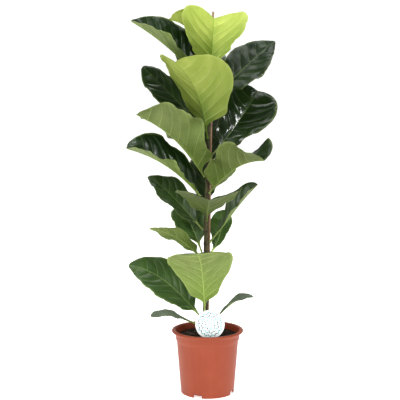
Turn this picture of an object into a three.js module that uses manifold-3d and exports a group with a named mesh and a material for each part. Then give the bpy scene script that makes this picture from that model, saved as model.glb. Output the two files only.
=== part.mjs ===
// A fiddle leaf fig in its nursery pot: a plastic pot with drain slots, soil, a woody stem beside
// a bamboo cane, a round care label, a terminal bud and the leaves, each leaf with its own stalk.
// Millimetres, +Z up. The origin is the centre of the pot's base; -Y is the plant's front.
import * as THREE from "three";
import { mergeVertices } from "three/addons/utils/BufferGeometryUtils.js";
import Module from "manifold-3d";

const wasm = await Module();
wasm.setup();

// ---------------------------------------------------------------- driving dimensions
const GAP = 0.3; // clearance between pieces that touch

const pot = {
  height: 153,
  lipRadius: 85,
  lipHeight: 8,
  collarTopRadius: 77.5,
  collarBottomRadius: 75,
  collarHeight: 25,
  ledge: 1.6,
  footRadius: 63,
  wall: 1.6,
  floorThickness: 1.8,
  seatRadius: 44,
  gutterRise: 5,
  gutterSlope: 3,
  segments: 56,
};

const drainSlot = { count: 4, width: 21, height: 9, depth: 13, firstAngle: -22 };

const soil = { belowRim: 13, dome: 5, edgeRings: 3, segments: 36 };

const stem = {
  height: 668,
  buried: 32,
  footX: -5,
  leanX: 15,
  leanPower: 2.2,
  footRadius: 6.2,
  topRadius: 3.4,
  sides: 10,
  rings: 15,
};

const bud = { length: 44, radius: 4.2, sides: 8 };

const cane = {
  radius: 2.7,
  aboveStem: 92,
  topX: 12.5,
  footX: 0,
  behindStem: 0.9,
  leanBack: 0.7,
  buried: 118,
  nodeSpacing: 150,
  nodeBulge: 0.7,
  nodeLength: 5,
  sides: 10,
};

const label = {
  discRadius: 34.2,
  thickness: 0.9,
  x: 5.5,
  y: -58,
  aboveSoil: 1.5,
  tilt: 4,
  stakeWidth: 11,
  stakeLength: 62,
  pointLength: 14,
  segments: 40,
};

const blade = {
  thickness: 1.1,
  edgeThickness: 0.6,
  midribThickness: 2.8,
  midribTaper: 0.55,
  stalkFoot: 3.1,
  stalkRadius: 2.1,
  columns: 3,
  earSweep: -0.2,
  rows: [0, 0.06, 0.15, 0.25, 0.36, 0.47, 0.58, 0.69, 0.79, 0.88, 0.95],
  stalkRings: [0, 0.3, 0.7],
};

// Each leaf: `at` is where its stalk leaves the stem, as a share of the stem's height; `tip` is its
// tip, across from the pot's axis and up from that place. `rise` and `droop` are the midrib's slopes
// at the stem and at the tip, and `sweep` turns it sideways. `roll` turns the blade about its midrib,
// at the stalk and at the tip. `fold` lifts the left and right half, and `curl` bends them further
// towards the edge, all in degrees. `wave` is the edge's ripple: its size, its number of waves and
// where they start. `belly` is where the blade is widest, `point` how quickly it narrows past there,
// `lobe` how far its end swells forward and `ears` how far its base swells sideways.
const leafDefaults = {
  stalk: 32,
  width: 130,
  rise: 60,
  droop: 20,
  sweep: 0,
  roll: [0, 0],
  fold: [22, 22],
  curl: [10, 10],
  wave: [5, 2.2, 0.1],
  belly: 0.64,
  point: 0.62,
  lobe: 0.38,
  ears: 0.24,
};

const leaves = [
  // crown
  { name: "leaf_crown_front", at: 0.916, tip: [13, -118, 134], width: 176, rise: 58, droop: 40,
    roll: [-14, 8], fold: [22, 40], curl: [6, 4], wave: [4, 1.5, 0.2], stalk: 26, belly: 0.6 },
  { name: "leaf_crown_left", at: 0.970, tip: [-86, -26, 93], width: 90, rise: 56, droop: 4,
    roll: [-20, -20], fold: [30, 30], curl: [10, 10], wave: [2, 2, 0], stalk: 22, lobe: 0.2 },
  { name: "leaf_crown_back", at: 0.957, tip: [8, 120, 94], width: 96, rise: 56, droop: 20,
    sweep: 26 },
  { name: "leaf_upper_left", at: 0.883, tip: [-178, 6, 149], width: 132, rise: 46, droop: 30,
    roll: [18, 18], fold: [38, 38], curl: [4, 4], wave: [3, 2, 0.3], belly: 0.55, point: 0.95, lobe: 0.1 },
  { name: "leaf_upper_right", at: 0.846, tip: [158, 52, 126], width: 110, rise: 36, droop: 34,
    roll: [-42, -38], fold: [6, 6], curl: [6, 6], wave: [3, 2, 0.6], belly: 0.5, point: 0.95, lobe: 0.1 },
  { name: "leaf_upper_front", at: 0.701, tip: [-74, -118, 182], width: 196, rise: 74, droop: 34,
    sweep: 12, roll: [-2, 12], fold: [24, 14], curl: [8, 8], wave: [4, 1.6, 0.2], stalk: 28, belly: 0.6,
    ears: 0.14 },
  { name: "leaf_upper_back", at: 0.793, tip: [-30, 168, 120], width: 140, rise: 52, droop: 18 },
  // middle
  { name: "leaf_middle_left_high", at: 0.725, tip: [-152, 30, 149], width: 104, rise: 46, droop: 44,
    sweep: -8, roll: [30, 32], fold: [2, -6], curl: [4, 4], wave: [5, 2, 0.1], belly: 0.6, point: 0.8,
    lobe: 0.2 },
  { name: "leaf_middle_right_glossy", at: 0.636, tip: [120, 90, 148], width: 142, rise: 44, droop: 46,
    sweep: -12, roll: [-42, -40], fold: [6, 6], curl: [6, 6], wave: [3, 2, 0.4] },
  { name: "leaf_middle_left_light", at: 0.566, tip: [-162, -70, 151], width: 154, rise: 56, droop: 24,
    roll: [-26, -38], fold: [22, 42], curl: [6, 6], wave: [13, 2.8, 0.15], stalk: 12, belly: 0.56,
    point: 0.8, lobe: 0.1, ears: 0.2 },
  { name: "leaf_middle_left_low", at: 0.485, tip: [-188, -30, 124], width: 122, rise: 50, droop: 16,
    roll: [22, 24], fold: [36, 36], curl: [4, 4], wave: [7, 2.4, 0.3], stalk: 24, belly: 0.6, lobe: 0.2 },
  { name: "leaf_middle_right_light", at: 0.509, tip: [128, -108, 89], width: 154, rise: 46, droop: 2,
    roll: [24, -12], fold: [28, 34], curl: [6, 6], wave: [11, 2.6, 0.35], stalk: 12, ears: 0.34 },
  { name: "leaf_middle_back", at: 0.557, tip: [64, 140, 124], width: 124, rise: 46, droop: 22,
    sweep: 24 },
  // lower
  { name: "leaf_lower_back", at: 0.422, tip: [16, 130, 118], width: 100, rise: 54, droop: 24,
    sweep: 14 },
  { name: "leaf_lower_left", at: 0.377, tip: [-142, 40, 121], width: 86, rise: 44, droop: 30,
    roll: [34, 30], fold: [18, 18], curl: [6, 6], wave: [5, 3, 0.1], stalk: 20,
    belly: 0.55, point: 0.9, lobe: 0.15 },
  { name: "leaf_lower_front", at: 0.410, tip: [4, -165, 74], width: 158, rise: 34, droop: 8,
    fold: [16, 16], curl: [6, 6], wave: [4, 2, 0.2] },
  { name: "leaf_lower_right", at: 0.332, tip: [118, 4, 138], width: 62, rise: 50, droop: 44,
    roll: [-22, -22], fold: [36, 36], curl: [6, 6], wave: [3, 2.5, 0.1], stalk: 26, lobe: 0.2 },
  { name: "leaf_low_back_right", at: 0.284, tip: [32, 70, 98], width: 60, rise: 50, droop: 60,
    sweep: -40, fold: [10, 10], stalk: 16, lobe: 0.2, ears: 0.3 },
  { name: "leaf_low_back_left", at: 0.278, tip: [-62, 66, 108], width: 104, rise: 62, droop: 44,
    fold: [0, 52], belly: 0.55 },
  { name: "leaf_low_left_light", at: 0.272, tip: [-135, -72, 86], width: 56, rise: 46, droop: 10,
    roll: [-24, -36], fold: [6, 6], curl: [6, 6], wave: [4, 2, 0.3], stalk: 20,
    belly: 0.5, point: 1, lobe: 0 },
  // foot
  { name: "leaf_foot_front", at: 0.087, tip: [-27, -140, 164], width: 150, rise: 74, droop: 8,
    fold: [6, -8], curl: [4, 4], wave: [3, 2, 0.2], stalk: 16, belly: 0.63, ears: 0.1 },
  { name: "leaf_foot_left", at: 0.060, tip: [-188, 24, 123], width: 114, rise: 46, droop: 8,
    roll: [36, 36], fold: [6, 6], curl: [6, 6], wave: [3, 2, 0.1], stalk: 18, belly: 0.56, point: 0.85,
    lobe: 0.1, ears: 0 },
  { name: "leaf_foot_back", at: 0.118, tip: [-9, 138, 78], width: 80, rise: 46, droop: 16 },
  { name: "leaf_lowest_left", at: 0.030, tip: [-134, -30, 30], width: 54, rise: 24, droop: -14,
    roll: [6, 6], fold: [6, 6], wave: [2, 2, 0.1], stalk: 30, lobe: 0.1 },
  { name: "leaf_lowest_right", at: 0.036, tip: [109, -8, 68], width: 46, rise: 44, droop: -4,
    roll: [-6, -6], fold: [8, 8], wave: [2, 2, 0.1], stalk: 30, lobe: 0.1 },
];

// ---------------------------------------------------------------- places worked out from them
const rad = THREE.MathUtils.degToRad;
const lerp = THREE.MathUtils.lerp;
const UP = new THREE.Vector3(0, 0, 1);
const soilLevel = pot.height - soil.belowRim;
const caneTop = stem.height + cane.aboveStem;

/** The pot's inner radius at a height above its base. */
function potInnerRadius(z) {
  const collarFoot = pot.height - pot.collarHeight;
  const bodyTop = pot.collarBottomRadius - pot.ledge;
  return z < collarFoot
    ? lerp(pot.footRadius, bodyTop, z / collarFoot) - pot.wall
    : lerp(pot.collarBottomRadius, pot.collarTopRadius, (z - collarFoot) / pot.collarHeight) - pot.wall;
}

/** The stem's centre at a height above the soil: it leans to the right, more and more upwards. */
function stemCentre(z) {
  const rise = Math.max(0, z) / stem.height;
  return new THREE.Vector3(stem.footX + stem.leanX * Math.pow(rise, stem.leanPower), 0, z);
}

/** The stem's radius at a height above the soil. */
function stemRadius(z) {
  return lerp(stem.footRadius, stem.topRadius, THREE.MathUtils.clamp(z / stem.height, 0, 1));
}

/** The cane's centre at a height above the soil. */
function caneCentre(z) {
  const t = z / caneTop;
  const back = stem.footRadius + cane.behindStem + cane.radius;
  return new THREE.Vector3(lerp(cane.footX, cane.topX, t), back + cane.leanBack * t, z);
}

/** A direction from an azimuth (0 is the front, 90 the right) and a slope above the horizontal. */
function direction(azimuth, slope) {
  const a = rad(azimuth);
  const e = rad(slope);
  return new THREE.Vector3(Math.sin(a) * Math.cos(e), -Math.cos(a) * Math.cos(e), Math.sin(e));
}

// ---------------------------------------------------------------- closed meshes
/** A closed mesh through rings of equal length, capped at its start and drawn to `apex` at its end. */
function loft(rings, apex) {
  const count = rings[0].length;
  const points = rings.flat();
  const centre = (ring) => ring.reduce((sum, p) => sum.add(p), new THREE.Vector3()).divideScalar(count);
  const start = points.push(centre(rings[0])) - 1;
  const end = points.push(apex ?? centre(rings.at(-1))) - 1;
  const faces = [];
  for (let i = 0; i + 1 < rings.length; i++) {
    for (let k = 0; k < count; k++) {
      const a = i * count + k;
      const b = i * count + ((k + 1) % count);
      // the quad is split along its ring-to-ring diagonal
      faces.push(a, b + count, b, a, a + count, b + count);
    }
  }
  const last = (rings.length - 1) * count;
  for (let k = 0; k < count; k++) {
    const next = (k + 1) % count;
    faces.push(start, k, next, end, last + next, last + k);
  }
  const geometry = new THREE.BufferGeometry().setFromPoints(points);
  geometry.setIndex(faces);
  return geometry;
}

/** A ring of points round a centre, in the plane of two directions. */
function circle(centre, right, up, radius, sides) {
  return Array.from({ length: sides }, (_, k) => {
    const a = (2 * Math.PI * (k + 0.5)) / sides;
    return centre
      .clone()
      .addScaledVector(right, radius * Math.cos(a))
      .addScaledVector(up, radius * Math.sin(a));
  });
}

/** A closed three.js geometry as a manifold solid. */
function solidFrom(geometry) {
  const bare = geometry.clone();
  bare.deleteAttribute("normal");
  bare.deleteAttribute("uv");
  const merged = mergeVertices(bare, 1e-4);
  return new wasm.Manifold(
    new wasm.Mesh({
      numProp: 3,
      vertProperties: merged.getAttribute("position").array,
      triVerts: new Uint32Array(merged.index.array),
    }),
  );
}

/** A manifold solid back as a three.js geometry. */
function geometryFrom(solid) {
  const mesh = solid.getMesh();
  const geometry = new THREE.BufferGeometry();
  geometry.setAttribute("position", new THREE.BufferAttribute(mesh.vertProperties, 3));
  geometry.setIndex(new THREE.BufferAttribute(mesh.triVerts, 1));
  return geometry;
}

// ---------------------------------------------------------------- pot and soil
/** The pot: a tapered wall, a collar, a rolled lip, a flat seat, and a raised gutter cut by slots. */
function makePot() {
  const top = pot.height;
  const collarFoot = top - pot.collarHeight;
  const lipFoot = top - pot.lipHeight;
  const inner = (z) => potInnerRadius(z);
  const gutterTop = pot.gutterRise + pot.floorThickness;
  const profile = [
    [0, 0],
    [pot.seatRadius, 0],
    [pot.seatRadius + pot.gutterSlope, pot.gutterRise],
    [pot.footRadius - 2 * pot.wall, pot.gutterRise],
    [pot.footRadius - pot.wall, 0],
    [pot.footRadius, 0],
    [pot.collarBottomRadius - pot.ledge, collarFoot - 1],
    [pot.collarBottomRadius, collarFoot + 1],
    [pot.collarTopRadius - 0.3, lipFoot - 3],
    [pot.collarTopRadius + 1.2, lipFoot + 0.4],
    [pot.lipRadius - 1.8, lipFoot + 2.6],
    [pot.lipRadius, lipFoot + 4.6],
    [pot.lipRadius - 0.6, top - 1.6],
    [pot.lipRadius - 2.6, top - 0.3],
    [pot.collarTopRadius + 0.4, top],
    [inner(top), top - 1.2],
    [inner(collarFoot + 1), collarFoot + 1],
    [inner(collarFoot - 1), collarFoot - 1],
    [inner(gutterTop) - 0.6, gutterTop + 4],
    [inner(gutterTop) - 4, gutterTop],
    [pot.seatRadius - pot.floorThickness, gutterTop],
    [pot.seatRadius - pot.floorThickness - pot.gutterSlope, pot.floorThickness],
    [0, pot.floorThickness],
  ].map(([r, z]) => new THREE.Vector2(r, z));
  const lathe = new THREE.LatheGeometry(profile, pot.segments).rotateX(Math.PI / 2);
  let solid = solidFrom(lathe);
  for (let i = 0; i < drainSlot.count; i++) {
    solid = solid.subtract(solidFrom(makeDrainSlot(i)));
  }
  return geometryFrom(solid);
}

/** The block that one drain slot removes from the pot's foot. */
function makeDrainSlot(index) {
  const azimuth = drainSlot.firstAngle + (360 / drainSlot.count) * index;
  const out = direction(azimuth, 0).multiplyScalar(pot.footRadius - drainSlot.depth / 2 + 3);
  return new THREE.BoxGeometry(drainSlot.width, drainSlot.depth, 2 * drainSlot.height)
    .rotateZ(rad(azimuth))
    .translate(out.x, out.y, 0);
}

/** The soil: it fills the pot with a clearance, rises to the stem, and is cut for what stands in it. */
function makeSoil(standing) {
  const seat = pot.floorThickness + GAP;
  const gutter = pot.gutterRise + seat;
  const seatRadius = pot.seatRadius - pot.floorThickness - pot.gutterSlope - GAP;
  const gutterFoot = potInnerRadius(gutter - GAP);
  const shoulder = pot.height - pot.collarHeight;
  const level = (share) => soilLevel + soil.dome * Math.cos((share * Math.PI) / 2) - soil.dome / 2;
  const rim = potInnerRadius(soilLevel) - GAP;
  const profile = [
    [0, seat],
    [seatRadius, seat],
    [seatRadius + pot.gutterSlope, gutter],
    [gutterFoot - 4 - 2 * GAP, gutter],
    [gutterFoot - 0.6 - 2 * GAP, gutter - GAP + 4],
    [potInnerRadius(shoulder - 1) - 2 * GAP, shoulder - 1],
    [rim - GAP, level(1)],
  ];
  for (let i = soil.edgeRings; i >= 0; i--) {
    const share = i / (soil.edgeRings + 1);
    profile.push([rim * share, level(share)]);
  }
  const points = profile.map(([r, z]) => new THREE.Vector2(r, z));
  let solid = solidFrom(new THREE.LatheGeometry(points, soil.segments).rotateX(Math.PI / 2));
  standing.forEach((piece) => {
    solid = solid.subtract(solidFrom(piece));
  });
  return geometryFrom(solid);
}

// ---------------------------------------------------------------- stem, bud and cane
/** The woody stem as a tapered tube; `grow` widens it, for the hole it needs in the soil. */
function makeStem(grow = 0) {
  const right = new THREE.Vector3(1, 0, 0);
  const front = new THREE.Vector3(0, -1, 0);
  const bottom = -stem.buried - grow;
  const rings = [];
  for (let i = 0; i <= stem.rings; i++) {
    const z = lerp(bottom, stem.height, i / stem.rings);
    rings.push(circle(stemCentre(z), right, front, stemRadius(z) + grow, stem.sides));
  }
  return loft(rings).translate(0, 0, soilLevel);
}

/** The terminal bud: a pointed sheath that stands on the stem. */
function makeBud() {
  const foot = stemCentre(stem.height);
  const shape = [
    [0, stem.topRadius],
    [0.18, bud.radius],
    [0.45, bud.radius * 0.82],
    [0.75, bud.radius * 0.42],
  ];
  const rings = shape.map(([share, radius]) =>
    circle(foot.clone().setZ(foot.z + GAP + share * bud.length), new THREE.Vector3(1, 0, 0),
      new THREE.Vector3(0, -1, 0), radius, bud.sides),
  );
  const point = foot.clone().add(new THREE.Vector3(1.5, -1, GAP + bud.length));
  return loft(rings, point).translate(0, 0, soilLevel);
}

/** The cane: a thin bamboo culm with raised nodes, pointing from its foot to its top. */
function makeCane(grow = 0) {
  const right = new THREE.Vector3(1, 0, 0);
  const front = new THREE.Vector3(0, -1, 0);
  const rings = [];
  const ring = (z, bulge) => {
    rings.push(circle(caneCentre(z), right, front, cane.radius + bulge + grow, cane.sides));
  };
  ring(-cane.buried - grow, 0);
  for (let z = cane.nodeSpacing / 3; z < caneTop - cane.nodeLength; z += cane.nodeSpacing) {
    ring(z - cane.nodeLength, 0);
    ring(z, cane.nodeBulge);
    ring(z + cane.nodeLength, 0);
  }
  ring(caneTop, 0);
  return loft(rings).translate(0, 0, soilLevel);
}

// ---------------------------------------------------------------- label
/** The care label: a round plate on a pointed stake, one piece of thin plastic. */
function makeLabel(grow = 0) {
  const r = label.discRadius + grow;
  const half = label.stakeWidth / 2 + grow;
  const neck = -Math.sqrt(r * r - half * half);
  const foot = -r - label.stakeLength;
  const shape = new THREE.Shape();
  const start = Math.atan2(neck, half);
  shape.moveTo(half, neck);
  shape.absarc(0, 0, r, start, start + 2 * Math.PI - 2 * Math.abs(Math.PI / 2 + start), false);
  shape.lineTo(-half, foot + label.pointLength);
  shape.lineTo(0, foot - grow);
  shape.lineTo(half, foot + label.pointLength);
  const thickness = label.thickness + 2 * grow;
  return new THREE.ExtrudeGeometry(shape, {
    depth: thickness,
    bevelEnabled: false,
    curveSegments: label.segments,
  })
    .translate(0, 0, -thickness / 2)
    .rotateX(Math.PI / 2 - rad(label.tilt))
    .translate(label.x, label.y, soilLevel + soil.dome / 2 + label.aboveSoil + label.discRadius);
}

// ---------------------------------------------------------------- leaves
/** A leaf's half-width along its blade, as a share of its width: eared base, waist, broad round end. */
function outlineAt(leaf, s) {
  const swell = Math.sin(Math.PI * Math.pow(s, Math.log(0.5) / Math.log(leaf.belly)));
  const body = Math.pow(swell, s < leaf.belly ? 0.62 : leaf.point);
  const ears = leaf.ears * Math.exp(-Math.pow((s - 0.1) / 0.11, 2));
  const foot = Math.min(1, 0.25 + s / 0.06);
  return (body * (1 - 0.1 * Math.exp(-Math.pow((s - 0.3) / 0.12, 2))) + ears * foot) / 2;
}

/** A leaf's midrib, from the stem's surface to its tip. */
function midribOf(leaf) {
  const height = leaf.at * stem.height;
  const foot = stemCentre(height);
  const tip = new THREE.Vector3(...leaf.tip).add(new THREE.Vector3(0, 0, height));
  const azimuth = THREE.MathUtils.radToDeg(Math.atan2(tip.x - foot.x, -(tip.y - foot.y)));
  const standOff = stemRadius(height) + GAP + blade.stalkFoot * Math.sin(rad(leaf.rise));
  const start = foot.clone().addScaledVector(direction(azimuth + leaf.sweep, 0), standOff);
  const reach = start.distanceTo(tip) * 0.38;
  const leave = start.clone().addScaledVector(direction(azimuth + leaf.sweep, leaf.rise), reach);
  const arrive = tip.clone().addScaledVector(direction(azimuth - leaf.sweep, leaf.droop), -reach);
  const curve = new THREE.CubicBezierCurve3(start, leave, arrive, tip);
  return { curve, azimuth };
}

/** The leaf's own directions at a share of its midrib: along it, to its right, and out of its upper face. */
function frameAt({ curve, azimuth }, leaf, u, s) {
  const along = curve.getTangentAt(u);
  const right = direction(azimuth, 0).cross(UP);
  right.addScaledVector(along, -right.dot(along)).normalize();
  right.applyAxisAngle(along, -rad(lerp(leaf.roll[0], leaf.roll[1], s)));
  return { at: curve.getPointAt(u), along, right, face: right.clone().cross(along) };
}

/** A point of the blade's middle surface and the blade's direction of thickness there. */
function bladePoint(frame, leaf, s, side, v) {
  const half = side < 0 ? 0 : 1;
  const fold = rad(leaf.fold[half]);
  const curl = rad(leaf.curl[half]);
  const reach = leaf.width * outlineAt(leaf, s) * v;
  // the half-blade is an arc that leaves the midrib at the fold and turns by the curl
  const chord = fold + (curl * v) / 2;
  const slope = v === 0 ? 0 : fold + curl * v;
  const [size, count, start] = leaf.wave;
  const phase = 2 * Math.PI * (count * s + start + side * 0.17);
  const ripple = size * v * v * Math.sin(phase) * Math.sin(Math.PI * s);
  const at = frame.at
    .clone()
    .addScaledVector(frame.along, reach * v * lerp(blade.earSweep, leaf.lobe, s))
    .addScaledVector(frame.right, side * reach * Math.cos(chord))
    .addScaledVector(frame.face, reach * Math.sin(chord) + ripple);
  const across = frame.face.clone().multiplyScalar(Math.cos(slope));
  across.addScaledVector(frame.right, -side * Math.sin(slope));
  return { at, across };
}

/** One ring across the blade: over its upper face from the right edge to the left, and back below. */
function bladeRing(frame, leaf, s) {
  const n = blade.columns;
  const above = (j) => (Math.abs(j) === n ? blade.edgeThickness : blade.thickness) / 2;
  const midribDepth = blade.midribThickness * (1 - blade.midribTaper * s) - blade.thickness / 2;
  const below = (j) => (j === 0 ? midribDepth : above(j));
  const skin = (j, offset) => {
    const { at, across } = bladePoint(frame, leaf, s, Math.sign(j) || 1, Math.abs(j) / n);
    return at.addScaledVector(across, offset);
  };
  const columns = Array.from({ length: 2 * n + 1 }, (_, k) => n - k);
  const upper = columns.map((j) => skin(j, above(j)));
  const lower = columns.map((j) => skin(j, -below(j))).reverse();
  return [...upper, ...lower];
}

/** One leaf with its stalk: a single closed body whose every ring has as many points. */
function makeLeaf(row) {
  const leaf = { ...leafDefaults, ...row };
  const midrib = midribOf(leaf);
  const stalkShare = leaf.stalk / midrib.curve.getLength();
  const sides = 4 * blade.columns + 2;
  const rings = blade.stalkRings.map((share) => {
    const frame = frameAt(midrib, leaf, share * stalkShare, 0);
    const radius = lerp(blade.stalkFoot, blade.stalkRadius, Math.min(1, share / 0.3));
    return circle(frame.at, frame.right, frame.face, radius, sides);
  });
  for (const s of blade.rows) {
    const frame = frameAt(midrib, leaf, lerp(stalkShare, 1, s), s);
    rings.push(bladeRing(frame, leaf, s));
  }
  return loft(rings, midrib.curve.getPointAt(1)).translate(0, 0, soilLevel);
}

// ---------------------------------------------------------------- materials and assembly
const material = (color, roughness) => new THREE.MeshStandardMaterial({ color, roughness, metalness: 0 });
const finishes = {
  pot: material(0xb9603f, 0.5),
  soil: material(0x2e241c, 0.95),
  bark: material(0x6b5a3c, 0.8),
  bamboo: material(0xc09a78, 0.6),
  label: material(0xf4f6f5, 0.4),
  bud: material(0x7c6a3e, 0.6),
  leaf: material(0x3f5a2a, 0.4),
};

const plant = new THREE.Group();

/** Adds one named piece to the plant. */
function add(name, geometry, finish) {
  const mesh = new THREE.Mesh(geometry, finish);
  mesh.name = name;
  plant.add(mesh);
}

add("pot", makePot(), finishes.pot);
add("soil", makeSoil([makeStem(GAP), makeCane(GAP), makeLabel(GAP)]), finishes.soil);
add("stem", makeStem(), finishes.bark);
add("terminal_bud", makeBud(), finishes.bud);
add("bamboo_cane", makeCane(), finishes.bamboo);
add("care_label", makeLabel(), finishes.label);
leaves.forEach((leaf) => add(leaf.name, makeLeaf(leaf), finishes.leaf));

export default plant;
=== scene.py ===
"""The looks of a young fiddle leaf fig in its nursery pot.

Each piece is built in metres, +Z up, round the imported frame: a class reads its own CAD node, makes a
finer mesh in the same place, and dresses it in a procedural finish. The plant's front is -Y.
"""

import logging
import math
from dataclasses import dataclass, field, replace
from enum import Enum
from typing import Iterable, Sequence, Union

import bmesh
import bpy
import numpy as np
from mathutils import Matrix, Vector, noise


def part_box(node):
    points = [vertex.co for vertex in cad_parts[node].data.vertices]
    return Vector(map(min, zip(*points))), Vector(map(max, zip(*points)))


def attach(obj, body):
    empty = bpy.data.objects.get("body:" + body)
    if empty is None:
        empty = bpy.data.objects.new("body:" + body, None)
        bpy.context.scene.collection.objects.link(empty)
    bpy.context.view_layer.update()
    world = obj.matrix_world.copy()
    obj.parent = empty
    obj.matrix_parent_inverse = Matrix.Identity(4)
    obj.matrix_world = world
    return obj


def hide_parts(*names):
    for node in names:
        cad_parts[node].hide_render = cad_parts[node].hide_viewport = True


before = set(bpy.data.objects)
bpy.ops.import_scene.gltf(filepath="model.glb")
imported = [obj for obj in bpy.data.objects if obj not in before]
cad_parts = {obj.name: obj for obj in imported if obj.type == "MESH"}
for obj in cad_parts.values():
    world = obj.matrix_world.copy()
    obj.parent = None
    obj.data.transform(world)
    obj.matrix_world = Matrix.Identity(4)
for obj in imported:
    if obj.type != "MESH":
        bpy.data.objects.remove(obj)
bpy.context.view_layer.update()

MM = 0.001
BODY = "root"

Array = np.ndarray
Colour = tuple[float, float, float, float]
Scalar = Union["Signal", float]

log = logging.getLogger("fig")


class Slot(Enum):
    """The record's material slots."""

    POT = "pot_plastic"
    SOIL = "potting_mix"
    BARK = "bark"
    BUD = "bud_sheath"
    BAMBOO = "bamboo"
    LABEL = "label_plastic"
    LEAF = "leaf"
    YOUNG_LEAF = "young_leaf"


class Side(Enum):
    """The two halves of a leaf, seen from above with its tip ahead."""

    LEFT = -1
    RIGHT = 1


# ------------------------------------------------------------------------------------ shader graphs
def srgb(red: float, green: float, blue: float) -> Colour:
    """A display colour as the linear colour that a shader takes.

    Args:
        red: The red channel, 0 to 255.
        green: The green channel, 0 to 255.
        blue: The blue channel, 0 to 255.

    Returns:
        The linear colour with an alpha of 1.
    """

    def linear(channel: float) -> float:
        """One channel from display to linear."""
        c = channel / 255
        return c / 12.92 if c <= 0.04045 else ((c + 0.055) / 1.055) ** 2.4

    return (linear(red), linear(green), linear(blue), 1.0)


class Signal:
    """A shader socket that takes arithmetic: each operation on values adds a Math node."""

    def __init__(self, graph: "Graph", socket: bpy.types.NodeSocket) -> None:
        """Wraps a socket.

        Args:
            graph: The graph that the socket belongs to.
            socket: The output that later nodes read.
        """
        self.graph = graph
        self.socket = socket

    def _math(self, operation: str, *values: Scalar) -> "Signal":
        """Adds a Math node for an operation on values."""
        return self.graph.node("ShaderNodeMath", {"operation": operation}, dict(enumerate(values)))

    def __add__(self, other: Scalar) -> "Signal":
        """This plus other."""
        return self._math("ADD", self, other)

    __radd__ = __add__

    def __sub__(self, other: Scalar) -> "Signal":
        """This less other."""
        return self._math("SUBTRACT", self, other)

    def __rsub__(self, other: Scalar) -> "Signal":
        """Other less this."""
        return self._math("SUBTRACT", other, self)

    def __mul__(self, other: Scalar) -> "Signal":
        """This times other."""
        return self._math("MULTIPLY", self, other)

    __rmul__ = __mul__

    def __pow__(self, other: Scalar) -> "Signal":
        """This to the power of other."""
        return self._math("POWER", self, other)

    def ramp(self, low: float, high: float, start: float = 0.0, end: float = 1.0) -> "Signal":
        """A smooth step from start to end as this goes from low to high.

        Args:
            low: Where the step begins.
            high: Where it ends.
            start: The value before it.
            end: The value past it.

        Returns:
            The stepped value.
        """
        return self.graph.node(
            "ShaderNodeMapRange",
            {"interpolation_type": "SMOOTHSTEP"},
            {0: self, 1: low, 2: high, 3: start, 4: end},
        )


class Graph:
    """A material's or a world's node tree, built by calls that return signals."""

    def __init__(self, name: str, world: bool = False) -> None:
        """Starts an empty material or world.

        Args:
            name: Its name.
            world: Whether it is a world.
        """
        kinds = bpy.data.worlds if world else bpy.data.materials
        self.owner = kinds.new(name)
        self.owner.use_nodes = True
        self.output = "ShaderNodeOutputWorld" if world else "ShaderNodeOutputMaterial"
        self.tree = self.owner.node_tree
        self.tree.nodes.clear()

    def node(
        self,
        kind: str,
        settings: dict[str, object] | None = None,
        inputs: dict[int | str, object] | None = None,
        output: int | str = 0,
    ) -> Signal:
        """Adds one node, sets it and joins it up.

        Args:
            kind: The node's type.
            settings: The node's own options, set before its sockets.
            inputs: A value or a signal for each socket, by name or place.
            output: The output to read.

        Returns:
            The node's output as a signal.
        """
        made = self.tree.nodes.new(kind)
        for key, value in (settings or {}).items():
            setattr(made, key, value)
        for key, value in (inputs or {}).items():
            if isinstance(value, Signal):
                self.tree.links.new(value.socket, made.inputs[key])
            else:
                made.inputs[key].default_value = value
        return Signal(self, made.outputs[output]) if made.outputs else Signal(self, made.inputs[0])

    def attribute(self, name: str, output: str = "Fac") -> Signal:
        """A vertex attribute of the piece, by name."""
        return self.node("ShaderNodeAttribute", {"attribute_name": name}, output=output)

    def place(self) -> Signal:
        """A point's place on the piece, in metres."""
        return self.node("ShaderNodeTexCoord", output="Object")

    def stretch(self, vector: Signal, by: tuple[float, float, float]) -> Signal:
        """A vector with each of its parts multiplied."""
        return self.node("ShaderNodeVectorMath", {"operation": "MULTIPLY"}, {0: vector, 1: by})

    def mix(self, share: Scalar, first: Signal | Colour, second: Signal | Colour) -> Signal:
        """A colour between two, at a share from the first to the second."""
        settings = {"data_type": "RGBA", "clamp_factor": True}
        return self.node("ShaderNodeMix", settings, {0: share, 6: first, 7: second}, output=2)

    def noise(self, where: Signal, scale: float, detail: float = 3.0, rough: float = 0.5) -> Signal:
        """Soft noise from 0 to 1.

        Args:
            where: The coordinates it is read at.
            scale: How many waves fit in a metre.
            detail: How many finer layers it has.
            rough: How strong those layers are.

        Returns:
            The noise.
        """
        inputs = {"Vector": where, "Scale": scale, "Detail": detail, "Roughness": rough}
        return self.node("ShaderNodeTexNoise", None, inputs)

    def cells(self, where: Signal, scale: float) -> Signal:
        """The distance to the nearest wall of a net of cells."""
        settings = {"feature": "DISTANCE_TO_EDGE"}
        return self.node("ShaderNodeTexVoronoi", settings, {"Vector": where, "Scale": scale})

    def bump(self, height: Signal, distance: float, strength: float = 1.0) -> Signal:
        """A normal from a height, whose full range stands for a distance in metres."""
        inputs = {"Height": height, "Distance": distance, "Strength": strength}
        return self.node("ShaderNodeBump", None, inputs)

    def principled(self, **inputs: object) -> Signal:
        """A Principled shader with its sockets named by words joined with underscores."""
        named = {key.replace("_", " "): value for key, value in inputs.items()}
        return self.node("ShaderNodeBsdfPrincipled", None, named)

    def finish(self, shader: Signal) -> bpy.types.Material | bpy.types.World:
        """Joins a shader to the output and returns the material or world."""
        self.node(self.output, None, {"Surface": shader})
        return self.owner


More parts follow.
